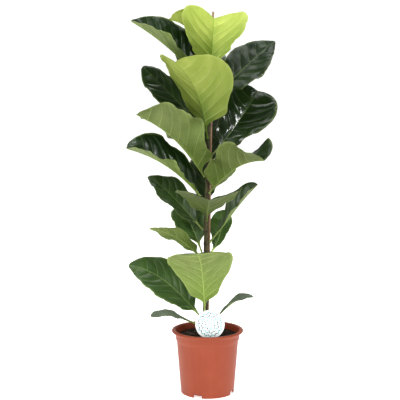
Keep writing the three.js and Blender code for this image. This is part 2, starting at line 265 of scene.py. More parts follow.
# ------------------------------------------------------------------------------------ finishes
@dataclass(frozen=True)
class LeafFinish:
    """A leathery blade: a glossy upper face, a paler matt underside, and pale veins on both."""

    name: str
    top: Colour
    top_light: Colour
    under: Colour
    under_light: Colour
    base_under: Colour
    vein_top: Colour
    vein_under: Colour
    rib_under: Colour
    glow: Colour
    glow_share: float
    gloss: float = 0.24
    matt: float = 0.6
    coat: float = 0.3

    def material(self) -> bpy.types.Material:
        """Builds the blade's material.

        Returns:
            The material, which reads the attributes that every leaf's mesh carries.
        """
        g = Graph(self.name)
        sheet = g.attribute("sheet", "Vector")
        vein = g.attribute("vein")
        rib = g.attribute("rib")
        under = g.attribute("under")
        base = g.attribute("base")
        stalk = g.attribute("stalk")
        cloud = g.noise(sheet, 24.0, 4.0)
        blotch = g.noise(sheet, 75.0, 3.0, 0.6)
        ladder = g.cells(g.stretch(sheet, (1.0, 1.8, 1.0)), 95.0).ramp(0.0, 0.07, 1.0, 0.0)
        mesh = g.cells(sheet, 420.0).ramp(0.0, 0.2, 1.0, 0.0)
        net = ladder * 0.55 + mesh * 0.45
        halo = vein**0.3
        top = g.mix(cloud.ramp(0.3, 0.7) * 0.7 + blotch * 0.3, self.top, self.top_light)
        top = g.mix(halo * 0.22 + net * 0.08, top, self.top_light)
        top = g.mix(vein * 0.62 + rib * 0.75, top, self.vein_top)
        low = g.mix(cloud.ramp(0.32, 0.68) * 0.75 + blotch * 0.25, self.under, self.under_light)
        low = g.mix(base * 0.85, low, self.base_under)
        low = g.mix(net * 0.2 + halo * 0.12, low, self.vein_under)
        low = g.mix(vein * 0.9, low, self.vein_under)
        low = g.mix(rib * 0.9, low, self.rib_under)
        colour = g.mix(under, top, low)
        colour = g.mix(g.attribute("edge") * 0.3, colour, self.vein_under)
        colour = g.mix(stalk * 0.6, colour, self.rib_under)
        # The tone attribute scales the blade's brightness: partly the leaf's own shade of green, partly
        # painted light and shade set leaf by leaf.
        values = {"Value": g.attribute("tone"), "Color": colour}
        colour = g.node("ShaderNodeHueSaturation", None, values)
        rough = under * (self.matt - self.gloss) + self.gloss + blotch * 0.12 - 0.05 + vein * 0.1
        relief = net * under * 0.55 + blotch * 0.45 + g.noise(sheet, 300.0, 2.0) * 0.12
        shader = g.principled(
            Base_Color=colour,
            Roughness=rough,
            Coat_Weight=(1 - under) * self.coat if self.coat else 0.0,
            Coat_Roughness=0.2,
            Specular_IOR_Level=0.4,
            Normal=g.bump(relief, 0.4 * MM, 0.6),
        )
        glow = g.node("ShaderNodeBsdfTranslucent", None, {"Color": self.glow})
        shader = g.node("ShaderNodeMixShader", None, {0: self.glow_share, 1: shader, 2: glow})
        return g.finish(shader)


@dataclass(frozen=True)
class PotFinish:
    """Terracotta-coloured moulded plastic: satin, with faint streaks and patches of dust."""

    body: Colour = srgb(146, 62, 32)
    light: Colour = srgb(156, 74, 44)
    dust: Colour = srgb(190, 122, 100)

    def material(self) -> bpy.types.Material:
        """Builds the pot's material.

        Returns:
            The material.
        """
        g = Graph("pot_plastic")
        place = g.place()
        cloud = g.noise(place, 14.0, 5.0, 0.6)
        streak = g.noise(g.stretch(place, (60.0, 60.0, 3.0)), 1.0, 4.0)
        grain = g.noise(place, 1400.0, 2.0)
        scuff = g.noise(g.stretch(place, (1.0, 1.0, 6.0)), 45.0, 6.0, 0.7).ramp(0.62, 0.74)
        colour = g.mix(cloud.ramp(0.3, 0.7) * 0.6 + streak.ramp(0.4, 0.7) * 0.25, self.body, self.light)
        colour = g.mix(scuff * 0.22, colour, self.dust)
        rough = 0.4 + cloud * 0.14 + scuff * 0.16
        normal = g.bump(grain * 0.6 + streak * 0.4 + cloud * 0.6, 0.12 * MM, 0.6)
        shader = g.principled(Base_Color=colour, Roughness=rough, Normal=normal, Specular_IOR_Level=0.5)
        return g.finish(shader)


@dataclass(frozen=True)
class SoilFinish:
    """Damp peat with bark chips and dry twigs, each in its own tone."""

    peat: Colour = srgb(46, 36, 30)
    dark: Colour = srgb(24, 18, 15)
    chip: Colour = srgb(118, 84, 62)
    twig: Colour = srgb(128, 122, 112)

    def material(self) -> bpy.types.Material:
        """Builds the soil's material.

        Returns:
            The material.
        """
        g = Graph("potting_mix")
        place = g.place()
        chip = g.attribute("chip")
        tone = g.attribute("tone")
        crumbs = g.noise(place, 260.0, 6.0, 0.7)
        grain = g.noise(g.stretch(place, (900.0, 260.0, 900.0)), 1.0, 4.0)
        colour = g.mix(crumbs.ramp(0.35, 0.65), self.dark, self.peat)
        bark = g.mix(grain.ramp(0.3, 0.7), self.peat, self.chip)
        colour = g.mix(chip * tone, colour, bark)
        colour = g.mix(g.attribute("twig"), colour, g.mix(grain, self.chip, self.twig))
        rough = 0.95 - chip * 0.16
        normal = g.bump(crumbs + grain * 0.4, 1.4 * MM, 0.9)
        return g.finish(g.principled(Base_Color=colour, Roughness=rough, Normal=normal))


@dataclass(frozen=True)
class BarkFinish:
    """A young woody stem: grey-brown cork at the foot, greener upwards, darker at the leaf scars."""

    cork: Colour = srgb(104, 88, 66)
    green: Colour = srgb(92, 98, 56)
    dark: Colour = srgb(50, 42, 32)
    spot: Colour = srgb(160, 148, 118)

    def material(self) -> bpy.types.Material:
        """Builds the stem's material.

        Returns:
            The material.
        """
        g = Graph("bark")
        place = g.place()
        height = g.attribute("height")
        fibres = g.noise(g.stretch(place, (420.0, 420.0, 50.0)), 1.0, 5.0, 0.65)
        patch = g.noise(place, 60.0, 4.0)
        pores = g.cells(g.stretch(place, (1.0, 1.0, 0.6)), 300.0).ramp(0.35, 0.6)
        colour = g.mix(height + patch * 0.7 - 0.35, self.cork, self.green)
        colour = g.mix(fibres.ramp(0.4, 0.62, 0.75, 0.0), colour, self.dark)
        colour = g.mix(g.attribute("scar") * 0.75, colour, self.dark)
        colour = g.mix(pores * 0.4, colour, self.spot)
        normal = g.bump(fibres + pores * 0.3, 0.7 * MM, 0.9)
        rough = 0.82 - height * 0.22
        return g.finish(g.principled(Base_Color=colour, Roughness=rough, Normal=normal))


@dataclass(frozen=True)
class BambooFinish:
    """A dry bamboo culm: tan with a pink cast, fine fibres, darker rings at its nodes and painted shade
    inside its hollow top.
    """

    culm: Colour = srgb(184, 156, 124)
    rose: Colour = srgb(164, 128, 100)
    ring: Colour = srgb(104, 72, 50)

    def material(self) -> bpy.types.Material:
        """Builds the cane's material.

        Returns:
            The material.
        """
        g = Graph("bamboo")
        place = g.place()
        fibres = g.noise(g.stretch(place, (900.0, 900.0, 12.0)), 1.0, 4.0, 0.6)
        patch = g.noise(g.stretch(place, (1.0, 1.0, 0.3)), 70.0, 4.0)
        colour = g.mix(patch.ramp(0.35, 0.65), self.culm, self.rose)
        colour = g.mix(fibres.ramp(0.5, 0.72) * 0.4, colour, self.ring)
        # The ring mask darkens the nodes, their own colour, and the inside of the hollow top, which is
        # painted shade.
        colour = g.mix(g.attribute("ring") * 0.85, colour, self.ring)
        normal = g.bump(fibres, 0.25 * MM, 0.7)
        rough = 0.44 + patch * 0.2
        return g.finish(g.principled(Base_Color=colour, Roughness=rough, Normal=normal))


@dataclass(frozen=True)
class BudFinish:
    """The papery sheath of the growing point: brown at the tip and edges, green beneath."""

    green: Colour = srgb(112, 132, 62)
    brown: Colour = srgb(126, 88, 52)
    dry: Colour = srgb(176, 140, 96)

    def material(self) -> bpy.types.Material:
        """Builds the bud's material.

        Returns:
            The material.
        """
        g = Graph("bud_sheath")
        place = g.place()
        ribs = g.noise(g.stretch(place, (1100.0, 1100.0, 40.0)), 1.0, 4.0)
        patch = g.noise(place, 130.0, 4.0)
        height = g.attribute("height")
        colour = g.mix(height * 1.1 + patch * 0.6 - 0.3, self.green, self.brown)
        colour = g.mix(ribs.ramp(0.5, 0.75) * 0.6, colour, self.dry)
        normal = g.bump(ribs + patch * 0.3, 0.4 * MM, 0.9)
        rough = 0.5 + ribs * 0.25
        return g.finish(g.principled(Base_Color=colour, Roughness=rough, Normal=normal))


@dataclass(frozen=True)
class LabelFinish:
    """White plastic, satin, with a faint mottle, handling marks and damp soil low on the stake."""

    soil_level: float
    white: Colour = srgb(244, 247, 247)
    cool: Colour = srgb(230, 238, 240)
    smear: Colour = srgb(120, 98, 76)

    def material(self) -> bpy.types.Material:
        """Builds the plate's material.

        Returns:
            The material.
        """
        g = Graph("label_plastic")
        place = g.place()
        mottle = g.noise(place, 60.0, 4.0)
        marks = g.noise(place, 240.0, 4.0, 0.6)
        colour = g.mix(mottle.ramp(0.35, 0.7), self.white, self.cool)
        height = g.node("ShaderNodeSeparateXYZ", None, {0: place}, "Z")
        soiled = height.ramp(self.soil_level - 2 * MM, self.soil_level + 9 * MM, 1.0, 0.0)
        colour = g.mix(soiled * marks.ramp(0.35, 0.6), colour, self.smear)
        normal = g.bump(marks + mottle, 0.03 * MM, 0.4)
        rough = 0.34 + marks * 0.12
        return g.finish(g.principled(Base_Color=colour, Roughness=rough, Normal=normal))


@dataclass(frozen=True)
class PrintFinish:
    """Printing ink on the label: each dab runs from one of two teals to a deep green."""

    aqua: Colour = srgb(120, 200, 200)
    teal: Colour = srgb(48, 140, 140)
    deep: Colour = srgb(20, 52, 50)

    def material(self) -> bpy.types.Material:
        """Builds the ink's material.

        Returns:
            The material.
        """
        g = Graph("label_ink")
        tone = g.attribute("tone")
        grain = g.noise(g.place(), 900.0, 3.0)
        colour = g.mix(tone.ramp(0.0, 0.5), self.aqua, self.teal)
        colour = g.mix(tone.ramp(0.45, 0.8), colour, self.deep)
        colour = g.mix(grain.ramp(0.5, 0.8) * 0.25, colour, self.aqua)
        return g.finish(g.principled(Base_Color=colour, Roughness=0.36 + grain * 0.1))


@dataclass(frozen=True)
class FloorFinish:
    """A plain pale studio floor, lit a little from within as a light table is."""

    pale: Colour = srgb(250, 250, 250)
    lift: float = 0.56

    def material(self) -> bpy.types.Material:
        """Builds the floor's material.

        Returns:
            The material.
        """
        g = Graph("studio_floor")
        shader = g.principled(
            Base_Color=self.pale,
            Roughness=0.7,
            Specular_IOR_Level=0.2,
            Emission_Color=self.pale,
            Emission_Strength=self.lift,
        )
        return g.finish(shader)


# ------------------------------------------------------------------------------------ mesh tools
def unit(vectors: Array) -> Array:
    """Vectors brought to a length of 1, along the last axis."""
    return vectors / np.maximum(np.linalg.norm(vectors, axis=-1, keepdims=True), 1e-12)


def smooth(low: float, high: float, x: Array | float) -> Array:
    """A smooth step from 0 to 1 as x goes from low to high."""
    t = np.clip((np.asarray(x, float) - low) / (high - low), 0, 1)
    return t * t * (3 - 2 * t)


def curve_through(knots: Array, values: Array, x: Array) -> Array:
    """A smooth curve through values, each segment a cubic whose slopes average its neighbours'.

    Args:
        knots: Where the values are, rising.
        values: One value, point or array for each knot.
        x: Where the curve is wanted, in any shape.

    Returns:
        The curve there, in x's shape followed by a value's.
    """
    steps = np.diff(knots)
    wide = steps.reshape((-1,) + (1,) * (values.ndim - 1))
    rises = np.diff(values, axis=0) / wide
    slopes = np.empty_like(values)
    slopes[1:-1] = (rises[:-1] * wide[1:] + rises[1:] * wide[:-1]) / (wide[:-1] + wide[1:])
    slopes[0] = rises[0]
    slopes[-1] = rises[-1]
    x = np.clip(x, knots[0], knots[-1])
    i = np.clip(np.searchsorted(knots, x, side="right") - 1, 0, len(steps) - 1)
    h = steps[i]
    t = (x - knots[i]) / h
    tail = x.shape + (1,) * (values.ndim - 1)
    h = h.reshape(tail)
    t = t.reshape(tail)
    bend = (2 * t**3 - 3 * t**2 + 1) * values[i] + (3 * t**2 - 2 * t**3) * values[i + 1]
    return bend + h * ((t**3 - 2 * t**2 + t) * slopes[i] + (t**3 - t**2) * slopes[i + 1])


def make_piece(
    name: str,
    points: Array,
    faces: Iterable[Sequence[int]],
    attributes: dict[str, Array] | None = None,
    crease: float = 60.0,
) -> bpy.types.Object:
    """A mesh object with smooth shading and vertex attributes.

    Args:
        name: The piece's name.
        points: Its vertices, in metres.
        faces: Its faces, as runs of vertex numbers.
        attributes: A number or a vector for each vertex, by name.
        crease: The angle in degrees past which an edge stays sharp.

    Returns:
        The object, linked to the scene.
    """
    mesh = bpy.data.meshes.new(name)
    mesh.from_pydata(np.asarray(points, float).tolist(), [], [list(map(int, f)) for f in faces])
    for key, values in (attributes or {}).items():
        vector = values.ndim == 2
        made = mesh.attributes.new(key, "FLOAT_VECTOR" if vector else "FLOAT", "POINT")
        made.data.foreach_set("vector" if vector else "value", values.astype(np.float32).ravel())
    mesh.shade_smooth()
    mesh.set_sharp_from_angle(angle=math.radians(crease))
    mesh.update()
    piece = bpy.data.objects.new(name, mesh)
    bpy.context.scene.collection.objects.link(piece)
    return piece


def apply_modifiers(piece: bpy.types.Object) -> None:
    """Replaces a piece's mesh by what its modifiers make of it.

    Args:
        piece: The piece, whose modifiers are used up.
    """
    bpy.context.view_layer.update()
    evaluated = piece.evaluated_get(bpy.context.evaluated_depsgraph_get())
    mesh = bpy.data.meshes.new_from_object(evaluated)
    piece.modifiers.clear()
    piece.data = mesh


def seat(piece: bpy.types.Object, slot: Slot, *nodes: str) -> None:
    """Makes a piece ride on the plant's body and stand for its CAD nodes.

    Args:
        piece: The piece, in place.
        slot: The record's slot; not used.
        nodes: The CAD nodes that it stands for.
    """
    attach(piece, BODY)
    if nodes:
        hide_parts(*nodes)


def node_corners(name: str) -> Array:
    """The separate corners of a CAD node's mesh, in metres.

    Args:
        name: The node.

    Returns:
        One row for each corner.
    """
    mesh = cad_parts[name].data
    points = np.zeros(len(mesh.vertices) * 3, np.float32)
    mesh.vertices.foreach_get("co", points)
    return np.unique(np.round(points.reshape(-1, 3).astype(float), 5), axis=0)


def tube_faces(rings: int, sides: int) -> list[tuple[int, ...]]:
    """The faces of a closed tube whose rings follow each other in the vertex list.

    Args:
        rings: How many rings it has.
        sides: How many vertices each ring has, anticlockwise seen from the tube's end.

    Returns:
        The side faces and one face over each end.
    """
    faces: list[tuple[int, ...]] = []
    for i in range(rings - 1):
        for k in range(sides):
            a = i * sides + k
            b = i * sides + (k + 1) % sides
            faces.append((a, b, b + sides, a + sides))
    faces.append(tuple(range(sides - 1, -1, -1)))
    last = (rings - 1) * sides
    faces.append(tuple(range(last, last + sides)))
    return faces


def lathe(profile: Sequence[tuple[float, float]], segments: int) -> tuple[Array, list[tuple[int, ...]]]:
    """A closed turned body from a profile that starts and ends on the axis.

    Args:
        profile: The radius and height of each point, going out from below and back in above.
        segments: How many steps go round.

    Returns:
        The vertices and the faces.
    """
    inner = profile[1:-1]
    turns = np.arange(segments) * 2 * math.pi / segments
    rings = [np.stack([r * np.cos(turns), r * np.sin(turns), np.full(segments, z)], 1) for r, z in inner]
    ends = np.array([[0, 0, profile[0][1]], [0, 0, profile[-1][1]]])
    points = np.concatenate([*rings, ends])
    low = len(inner) * segments
    faces: list[tuple[int, ...]] = []
    for k in range(segments):
        n = (k + 1) % segments
        faces.append((low, n, k))
        faces.append((low + 1, low - segments + k, low - segments + n))
        for i in range(len(inner) - 1):
            a = i * segments
            faces.append((a + k, a + n, a + segments + n, a + segments + k))
    return points, faces


# ------------------------------------------------------------------------------------ leaves
class LeafCage:
    """A CAD leaf's rings, read back from its node: each crosses the leaf from edge to edge and back."""

    COLUMNS = 3
    STALK_RINGS = 3

    def __init__(self, name: str) -> None:
        """Reads a leaf's rings in order from its stalk to its tip.

        Args:
            name: The leaf's CAD node.
        """
        self.count = 4 * self.COLUMNS + 2
        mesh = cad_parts[name].data
        mesh.calc_loop_triangles()
        raw = np.array([v.co for v in mesh.vertices], float)
        keys = np.round(raw / (0.01 * MM)).astype(np.int64)
        _, first, same = np.unique(keys, axis=0, return_index=True, return_inverse=True)
        same = same.ravel()
        self.points = raw[first]
        self.triangles = [[int(same[v]) for v in t.vertices] for t in mesh.loop_triangles]
        self.beside: dict[int, set[int]] = {i: set() for i in range(len(first))}
        for a, b, c in self.triangles:
            self.beside[a] |= {b, c}
            self.beside[b] |= {a, c}
            self.beside[c] |= {a, b}
        ends = [v for v, near in self.beside.items() if len(near) == self.count]
        ends.sort(key=lambda v: math.hypot(*self.points[v][:2]))
        self.level = self._levels(ends[0])
        self.apex = self.points[ends[-1]]
        self.foot = self.points[ends[0]]
        self.rings = self._ordered()

    def _levels(self, start: int) -> dict[int, int]:
        """How many edges each vertex is from the stalk's end.

        Args:
            start: The vertex at the stalk's end.

        Returns:
            The number of edges, by vertex.
        """
        level = {start: 0}
        edge = [start]
        while edge:
            ahead = []
            for v in edge:
                for other in self.beside[v]:
                    if other not in level:
                        level[other] = level[v] + 1
                        ahead.append(other)
            edge = ahead
        return level

    def _ordered(self) -> Array:
        """The rings, each from its right edge over the upper face and back below.

        Returns:
            The rings' points, from the stalk to the tip.
        """
        after: dict[int, int] = {}
        for triangle in self.triangles:
            low = min(self.level[v] for v in triangle)
            pair = [i for i in range(3) if self.level[triangle[i]] == low]
            if low > 0 and len(pair) == 2:
                first, second = (0, 1) if pair == [0, 1] else (1, 2) if pair == [1, 2] else (2, 0)
                after[triangle[second]] = triangle[first]
        total = max(self.level.values()) - 1

        def chain(start: int) -> list[int]:
            """A ring's vertices in order from one of them.

            Args:
                start: The vertex that comes first.

            Returns:
                The vertices.
            """
            ring = [start]
            while len(ring) < self.count:
                ring.append(after[ring[-1]])
            return ring

        def common(a: int, b: int, level: int) -> int:
            """The vertex of a level that two neighbours share."""
            return next(v for v in self.beside[a] & self.beside[b] if self.level[v] == level)

        middle = self.STALK_RINGS + (total - self.STALK_RINGS) // 2
        ring = chain(next(v for v, k in self.level.items() if k == middle + 1))
        gaps = [np.linalg.norm(self.points[ring[k]] - self.points[ring[k - 1]]) for k in range(self.count)]
        starts = sorted(range(self.count), key=lambda k: gaps[k])[:2]
        turned = [ring[k:] + ring[:k] for k in starts]
        top, bottom = self.COLUMNS, self.count - 1 - self.COLUMNS
        turned.sort(key=lambda r: self.points[r[bottom]][2] - self.points[r[top]][2])
        rings = {middle: turned[0]}
        for i in range(middle, total - 1):
            rings[i + 1] = chain(common(rings[i][-1], rings[i][0], i + 2))
        for i in range(middle, 0, -1):
            rings[i - 1] = chain(common(rings[i][0], rings[i][1], i))
        return np.array([self.points[rings[i]] for i in range(total)])


@dataclass
class LeafShape:
    """The leaf's surface as a formula: the CAD rings' midrib, half-widths and cross-sections, smoothed."""

    cage: LeafCage
    outline_power: float = 1.7

    def __post_init__(self) -> None:
        """Works out the midrib and the normalised cross-sections from the rings."""
        n = self.cage.COLUMNS
        rings = self.cage.rings
        stalks = self.cage.STALK_RINGS
        top = rings[:, n]
        bottom = rings[:, self.cage.count - 1 - n]
        half = np.linalg.norm(rings[:, n - 1] - rings[:, self.cage.count - n], axis=1) / 2
        centres = top + unit(bottom - top) * half[:, None]
        centres[:stalks] = rings[:stalks].mean(axis=1)
        self.mids = np.vstack([centres, self.cage.apex])
        self.lengths = np.concatenate([[0], np.cumsum(np.linalg.norm(np.diff(self.mids, axis=0), axis=1))])
        self.stalk = float(self.lengths[stalks])
        self.blade = float(self.lengths[-1] - self.stalk)
        self.shares = (self.lengths[stalks:] - self.stalk) / self.blade
        self.reach: dict[Side, Array] = {}
        self.sections: dict[Side, Array] = {}
        for side in Side:
            across = []
            for j in range(1, n + 1):
                upper = rings[stalks:, n - side.value * j]
                lower = rings[stalks:, self.cage.count - 1 - n + side.value * j]
                across.append((upper + lower) / 2 - centres[stalks:])
            across = np.stack(across, axis=1)
            reach = np.linalg.norm(across[:, -1], axis=1)
            shape = across / reach[:, None, None]
            last = 2 * shape[-1] - shape[-2]
            self.reach[side] = np.append(reach, 0.0) ** self.outline_power
            self.sections[side] = np.concatenate([shape, last[None]])
        self.right = unit(rings[:stalks, 0] - centres[:stalks])
        self.width = float(max(self.half_width(side, np.linspace(0, 1, 50)).max() for side in Side))

    def midrib(self, length: Array) -> Array:
        """The midrib's points at lengths from the stalk's foot."""
        return curve_through(self.lengths, self.mids, np.asarray(length, float))

    def half_width(self, side: Side, share: Array) -> Array:
        """The half-blade's width at shares of the blade's length."""
        raised = curve_through(self.shares, self.reach[side], np.asarray(share, float))
        return np.maximum(raised, 0) ** (1 / self.outline_power)

    def across(self, side: Side, share: Array, v: Array) -> Array:
        """The step from the midrib to a point of one half-blade.

        Args:
            side: The half.
            share: Shares of the blade's length, an array.
            v: Shares of the half-blade's width, an array of the same shape.

        Returns:
            The steps, in metres.
        """
        knots = curve_through(self.shares, self.sections[side], share)
        first = 13.5 * v * (v - 2 / 3) * (v - 1)
        second = -13.5 * v * (v - 1 / 3) * (v - 1)
        third = 4.5 * v * (v - 1 / 3) * (v - 2 / 3)
        weights = np.stack([first, second, third], axis=-1)
        return self.half_width(side, share)[..., None] * np.einsum("...j,...jc->...c", weights, knots)


@dataclass
class LeafGrid:
    """A leaf's middle surface: rows of points along it by columns across it, the stalk's rows first."""

    shape: LeafShape
    veins: Array
    stalk_rows: Array
    blade_rows: Array
    stalk_radius: Array
    columns: Array
    sides: Array
    u: Array
    v: Array
    share: Array
    reach: Array
    width: Array
    middle: Array

    def with_stalk(self, stalk: Array | float, blade: Array) -> Array:
        """One array over the whole leaf, from a value on the stalk's rows and the blade's own array.

        Args:
            stalk: The stalk's values, or one for them all.
            blade: The blade's values.

        Returns:
            The values, a row for each row of the leaf.
        """
        return np.concatenate([np.zeros((len(self.stalk_rows), len(self.columns))) + stalk, blade])


@dataclass
class Leaf:
    """One leaf with its stalk: a closed blade with real veins, quilted between them, and a rolled edge."""

    name: str
    seed: int
    finish: LeafFinish
    slot: Slot
    tone: float = 1.0
    columns: int = 15
    crowding: float = 1.45
    stalk_steps: int = 8
    stalk_blend: float = 12.0 * MM
    vein_rise: float = 0.33
    vein_gap: float = 29.0 * MM
    blade_half: float = 0.36 * MM
    edge_half: float = 0.2 * MM
    midrib_height: float = 2.1 * MM
    midrib_width: float = 1.7 * MM
    vein_height: float = 0.6 * MM
    vein_width: float = 0.7 * MM
    quilt: float = 1.4 * MM
    dimple: float = 1.7 * MM
    ruffle: float = 1.5 * MM
    roll: float = 0.9 * MM
    stalk_radius: float = 2.1 * MM
    stalk_foot: float = 3.1 * MM
    thinning: float = 0.72
    line_width: float = 0.95 * MM
    base_width: float = 14.0 * MM
    full_width: float = 55.0 * MM
    dimple_scales: tuple[float, float] = (30.0, 75.0)
    foot: Array | None = None
    piece: bpy.types.Object | None = None

    def _vein_places(self, blade: float, rng: np.random.Generator) -> Array:
        """Where the side veins leave the midrib, on the two sides by turns.

        Args:
            blade: The blade's length.
            rng: The leaf's own random numbers.

        Returns:
            Shares of the blade's length, rising.
        """
        count = 2 * int(np.clip(round(blade / self.vein_gap), 3, 7))
        steps = (np.arange(count) + 0.5) / (count + 0.6)
        return 0.015 + 0.92 * steps**1.15 + rng.uniform(-0.2, 0.2, count) / count

    def _rows(self, veins: Array, blade: float) -> Array:
        """The rows of vertices along the blade: bunched at each vein and even between them.

        Args:
            veins: Where the side veins leave the midrib.
            blade: The blade's length.

        Returns:
            Shares of the blade's length, rising.
        """
        near = np.array([-2.2, -1.2, -0.6, 0.0, 0.6, 1.2, 2.2]) * MM / blade
        rows = [veins + step for step in near]
        bounds = np.concatenate([[0.0], veins, [1.0]])
        for low, high in zip(bounds[:-1], bounds[1:], strict=True):
            gap = 2.5 * MM if high < 0.2 else 4.5 * MM
            count = max(2, int((high - low) * blade / gap))
            rows.append(np.linspace(low, high, count + 2)[1:-1])
        rows = np.unique(np.round(np.concatenate([*rows, [0.0, 1.0]]), 5))
        rows = rows[(rows >= 0) & (rows <= 1)]
        keep = np.concatenate([[True], np.diff(rows) > 0.35 * MM / blade])
        return rows[keep]

    def build(self) -> "Leaf":
        """Makes the leaf's mesh from its CAD rings.

        Returns:
            The leaf itself, with its piece.
        """
        rng = np.random.default_rng(self.seed)
        grid = self._grid(rng)
        self.foot = grid.shape.cage.foot
        blade = slice(len(grid.stalk_rows), None)
        wave = self._waves(rng, grid)
        grid.middle[blade] += self._normals(grid.middle)[blade] * wave[..., None]
        points = np.concatenate([skin.reshape(-1, 3) for skin in self._skins(grid)])
        faces = self._faces(*grid.middle.shape[:2])
        self.piece = make_piece(self.name, points, faces, self._attributes(grid), crease=80)
        seat(self.piece, self.slot, self.name)
        self.piece.name = f"{self.name}_blade"
        return self

    def _grid(self, rng: np.random.Generator) -> LeafGrid:
        """Lays out the leaf's middle surface, smooth as yet.

        Args:
            rng: The leaf's own random numbers.

        Returns:
            The grid.
        """
        shape = LeafShape(LeafCage(self.name))
        veins = self._vein_places(shape.blade, rng)
        blade_rows = self._rows(veins, shape.blade)
        stalk_rows = np.linspace(0, shape.stalk, self.stalk_steps + 1)[:-1]
        order = np.arange(-self.columns, self.columns + 1)
        columns = (np.abs(order) / self.columns) ** self.crowding
        sides = np.where(order < 0, -1, 1)

        stalk_mid, stalk_radius = self._stalk(shape, stalk_rows)
        right = curve_through(shape.lengths[:3], shape.right, stalk_rows)
        bow = np.sin(math.pi / 2 * columns) * sides
        stalk = stalk_mid[:, None] + right[:, None] * (stalk_radius[:, None] * bow)[..., None]

        u = np.broadcast_to(blade_rows[:, None], (len(blade_rows), len(order)))
        v = np.broadcast_to(columns, u.shape)
        window = 6.75 * u * (1 - u) ** 2
        share = np.clip(u + self.vein_rise * window * v**1.2, 0, 1)
        blade = shape.midrib(shape.stalk + share * shape.blade)
        reach = np.zeros(u.shape)
        step = np.zeros(blade.shape)
        for side in Side:
            mine = sides == side.value
            step[:, mine] = shape.across(side, share[:, mine], v[:, mine])
            reach[:, mine] = shape.half_width(side, share[:, mine])
        width = smooth(0.0, self.stalk_blend, u * shape.blade)
        start = right[-1] * self.stalk_radius
        step = step * width[..., None] + (start * bow[None, :, None]) * (1 - width[..., None])
        return LeafGrid(
            shape=shape,
            veins=veins,
            stalk_rows=stalk_rows,
            blade_rows=blade_rows,
            stalk_radius=stalk_radius,
            columns=columns,
            sides=sides,
            u=u,
            v=v,
            share=share,
            reach=reach,
            width=width,
            middle=np.concatenate([stalk, blade + step]),
        )

    def _side_veins(self, grid: LeafGrid, slimness: float = 1.0) -> Array:
        """How strongly a side vein runs through each vertex of the blade.

        Args:
            grid: The leaf's grid.
            slimness: The veins' width as a share of their full width.

        Returns:
            The strengths, 1 along a vein and 0 away from any.
        """
        own = (np.arange(len(grid.veins)) % 2 == 0)[None, :] == (grid.sides > 0)[:, None]
        near = np.where(own[None], np.abs(grid.u[..., None] - grid.veins) * grid.shape.blade, 1.0)
        fade = (1 - smooth(0.72, 0.97, grid.v)) * smooth(0.0, 0.02, grid.v)
        slim = slimness * (self.vein_width * (1 - 0.5 * grid.v))
        return np.exp(-((near / slim[..., None]) ** 2)).max(axis=-1) * fade

    def _skins(self, grid: LeafGrid) -> tuple[Array, Array]:
        """The upper and lower skins: a thin sheet whose rib and veins stand out below.

        Args:
            grid: The leaf's grid.

        Returns:
            The skins' points.
        """
        u, v, width = grid.u, grid.v, grid.width
        taper = 1 - self.thinning * u
        distance = v * grid.reach
        rib = np.exp(-((distance / (self.midrib_width * (0.45 + 0.55 * taper))) ** 2))
        side_rib = self._side_veins(grid)
        radius = np.concatenate([grid.stalk_radius, np.full(len(grid.blade_rows), self.stalk_radius)])
        tube = np.maximum(radius[:, None] * np.cos(math.pi / 2 * grid.columns), 0.15 * MM)
        sheet = self.blade_half + (self.edge_half - self.blade_half) * smooth(0.75, 1, v)
        sheet = sheet * smooth(0, 0.05, 1 - u) + self.edge_half * (1 - smooth(0, 0.05, 1 - u))
        above = sheet - 0.45 * MM * rib * taper - 0.3 * self.vein_height * side_rib * (1 - 0.6 * v)
        below = sheet + self.midrib_height * rib * taper + self.vein_height * side_rib * (1 - 0.55 * v)
        stalks = len(grid.stalk_rows)
        above = np.concatenate([tube[:stalks], above * width + tube[stalks:] * (1 - width)])
        below = np.concatenate([tube[:stalks], below * width + tube[stalks:] * (1 - width)])
        normal = self._normals(grid.middle)
        return grid.middle + normal * above[..., None], grid.middle - normal * below[..., None]

    def _attributes(self, grid: LeafGrid) -> dict[str, Array]:
        """What the leaf's finish reads at each vertex, the upper skin's first.

        Args:
            grid: The leaf's grid.

        Returns:
            The values, by attribute.
        """
        u, v, shape = grid.u, grid.v, grid.shape
        taper = 1 - self.thinning * u
        distance = v * grid.reach
        line = np.exp(-((distance / (self.line_width * (0.5 + 0.5 * taper))) ** 2)) * (0.45 + 0.55 * taper)
        paint = self._side_veins(grid, 0.8) * (1 - 0.45 * v) * grid.width
        base = grid.with_stalk(1.0, np.exp(-((u / 0.34) ** 1.5)) * (1 - 0.35 * v))
        base = base + grid.with_stalk(0.0, 0.5 * np.exp(-((distance / self.base_width) ** 2)) * (1 - u))
        solid = grid.with_stalk(0.0, grid.width)
        along = np.concatenate([grid.stalk_rows, shape.stalk + grid.blade_rows * shape.blade])
        flat_x = np.broadcast_to(along[:, None], solid.shape)
        stalk_y = grid.columns * grid.sides * self.stalk_radius
        flat_y = grid.with_stalk(stalk_y, distance * grid.sides)
        flat = np.stack([flat_x, flat_y, np.full(solid.shape, 0.37 * self.seed)], axis=-1)
        both = {
            "vein": grid.with_stalk(0.0, paint),
            "rib": grid.with_stalk(0.0, line * grid.width),
            "edge": grid.with_stalk(0.0, smooth(0.97, 1, v)),
            "base": np.clip(base, 0, 1),
            "stalk": (1 - solid) * (1 - smooth(0, 1, solid)),
        }
        attributes = {key: np.concatenate([value.ravel()] * 2) for key, value in both.items()}
        attributes["under"] = np.repeat([0.0, 1.0], solid.size)
        # The tone, partly painted light and shade, goes on both skins.
        attributes["tone"] = np.full(2 * solid.size, self.tone)
        attributes["sheet"] = np.concatenate([flat.reshape(-1, 3)] * 2)
        return attributes

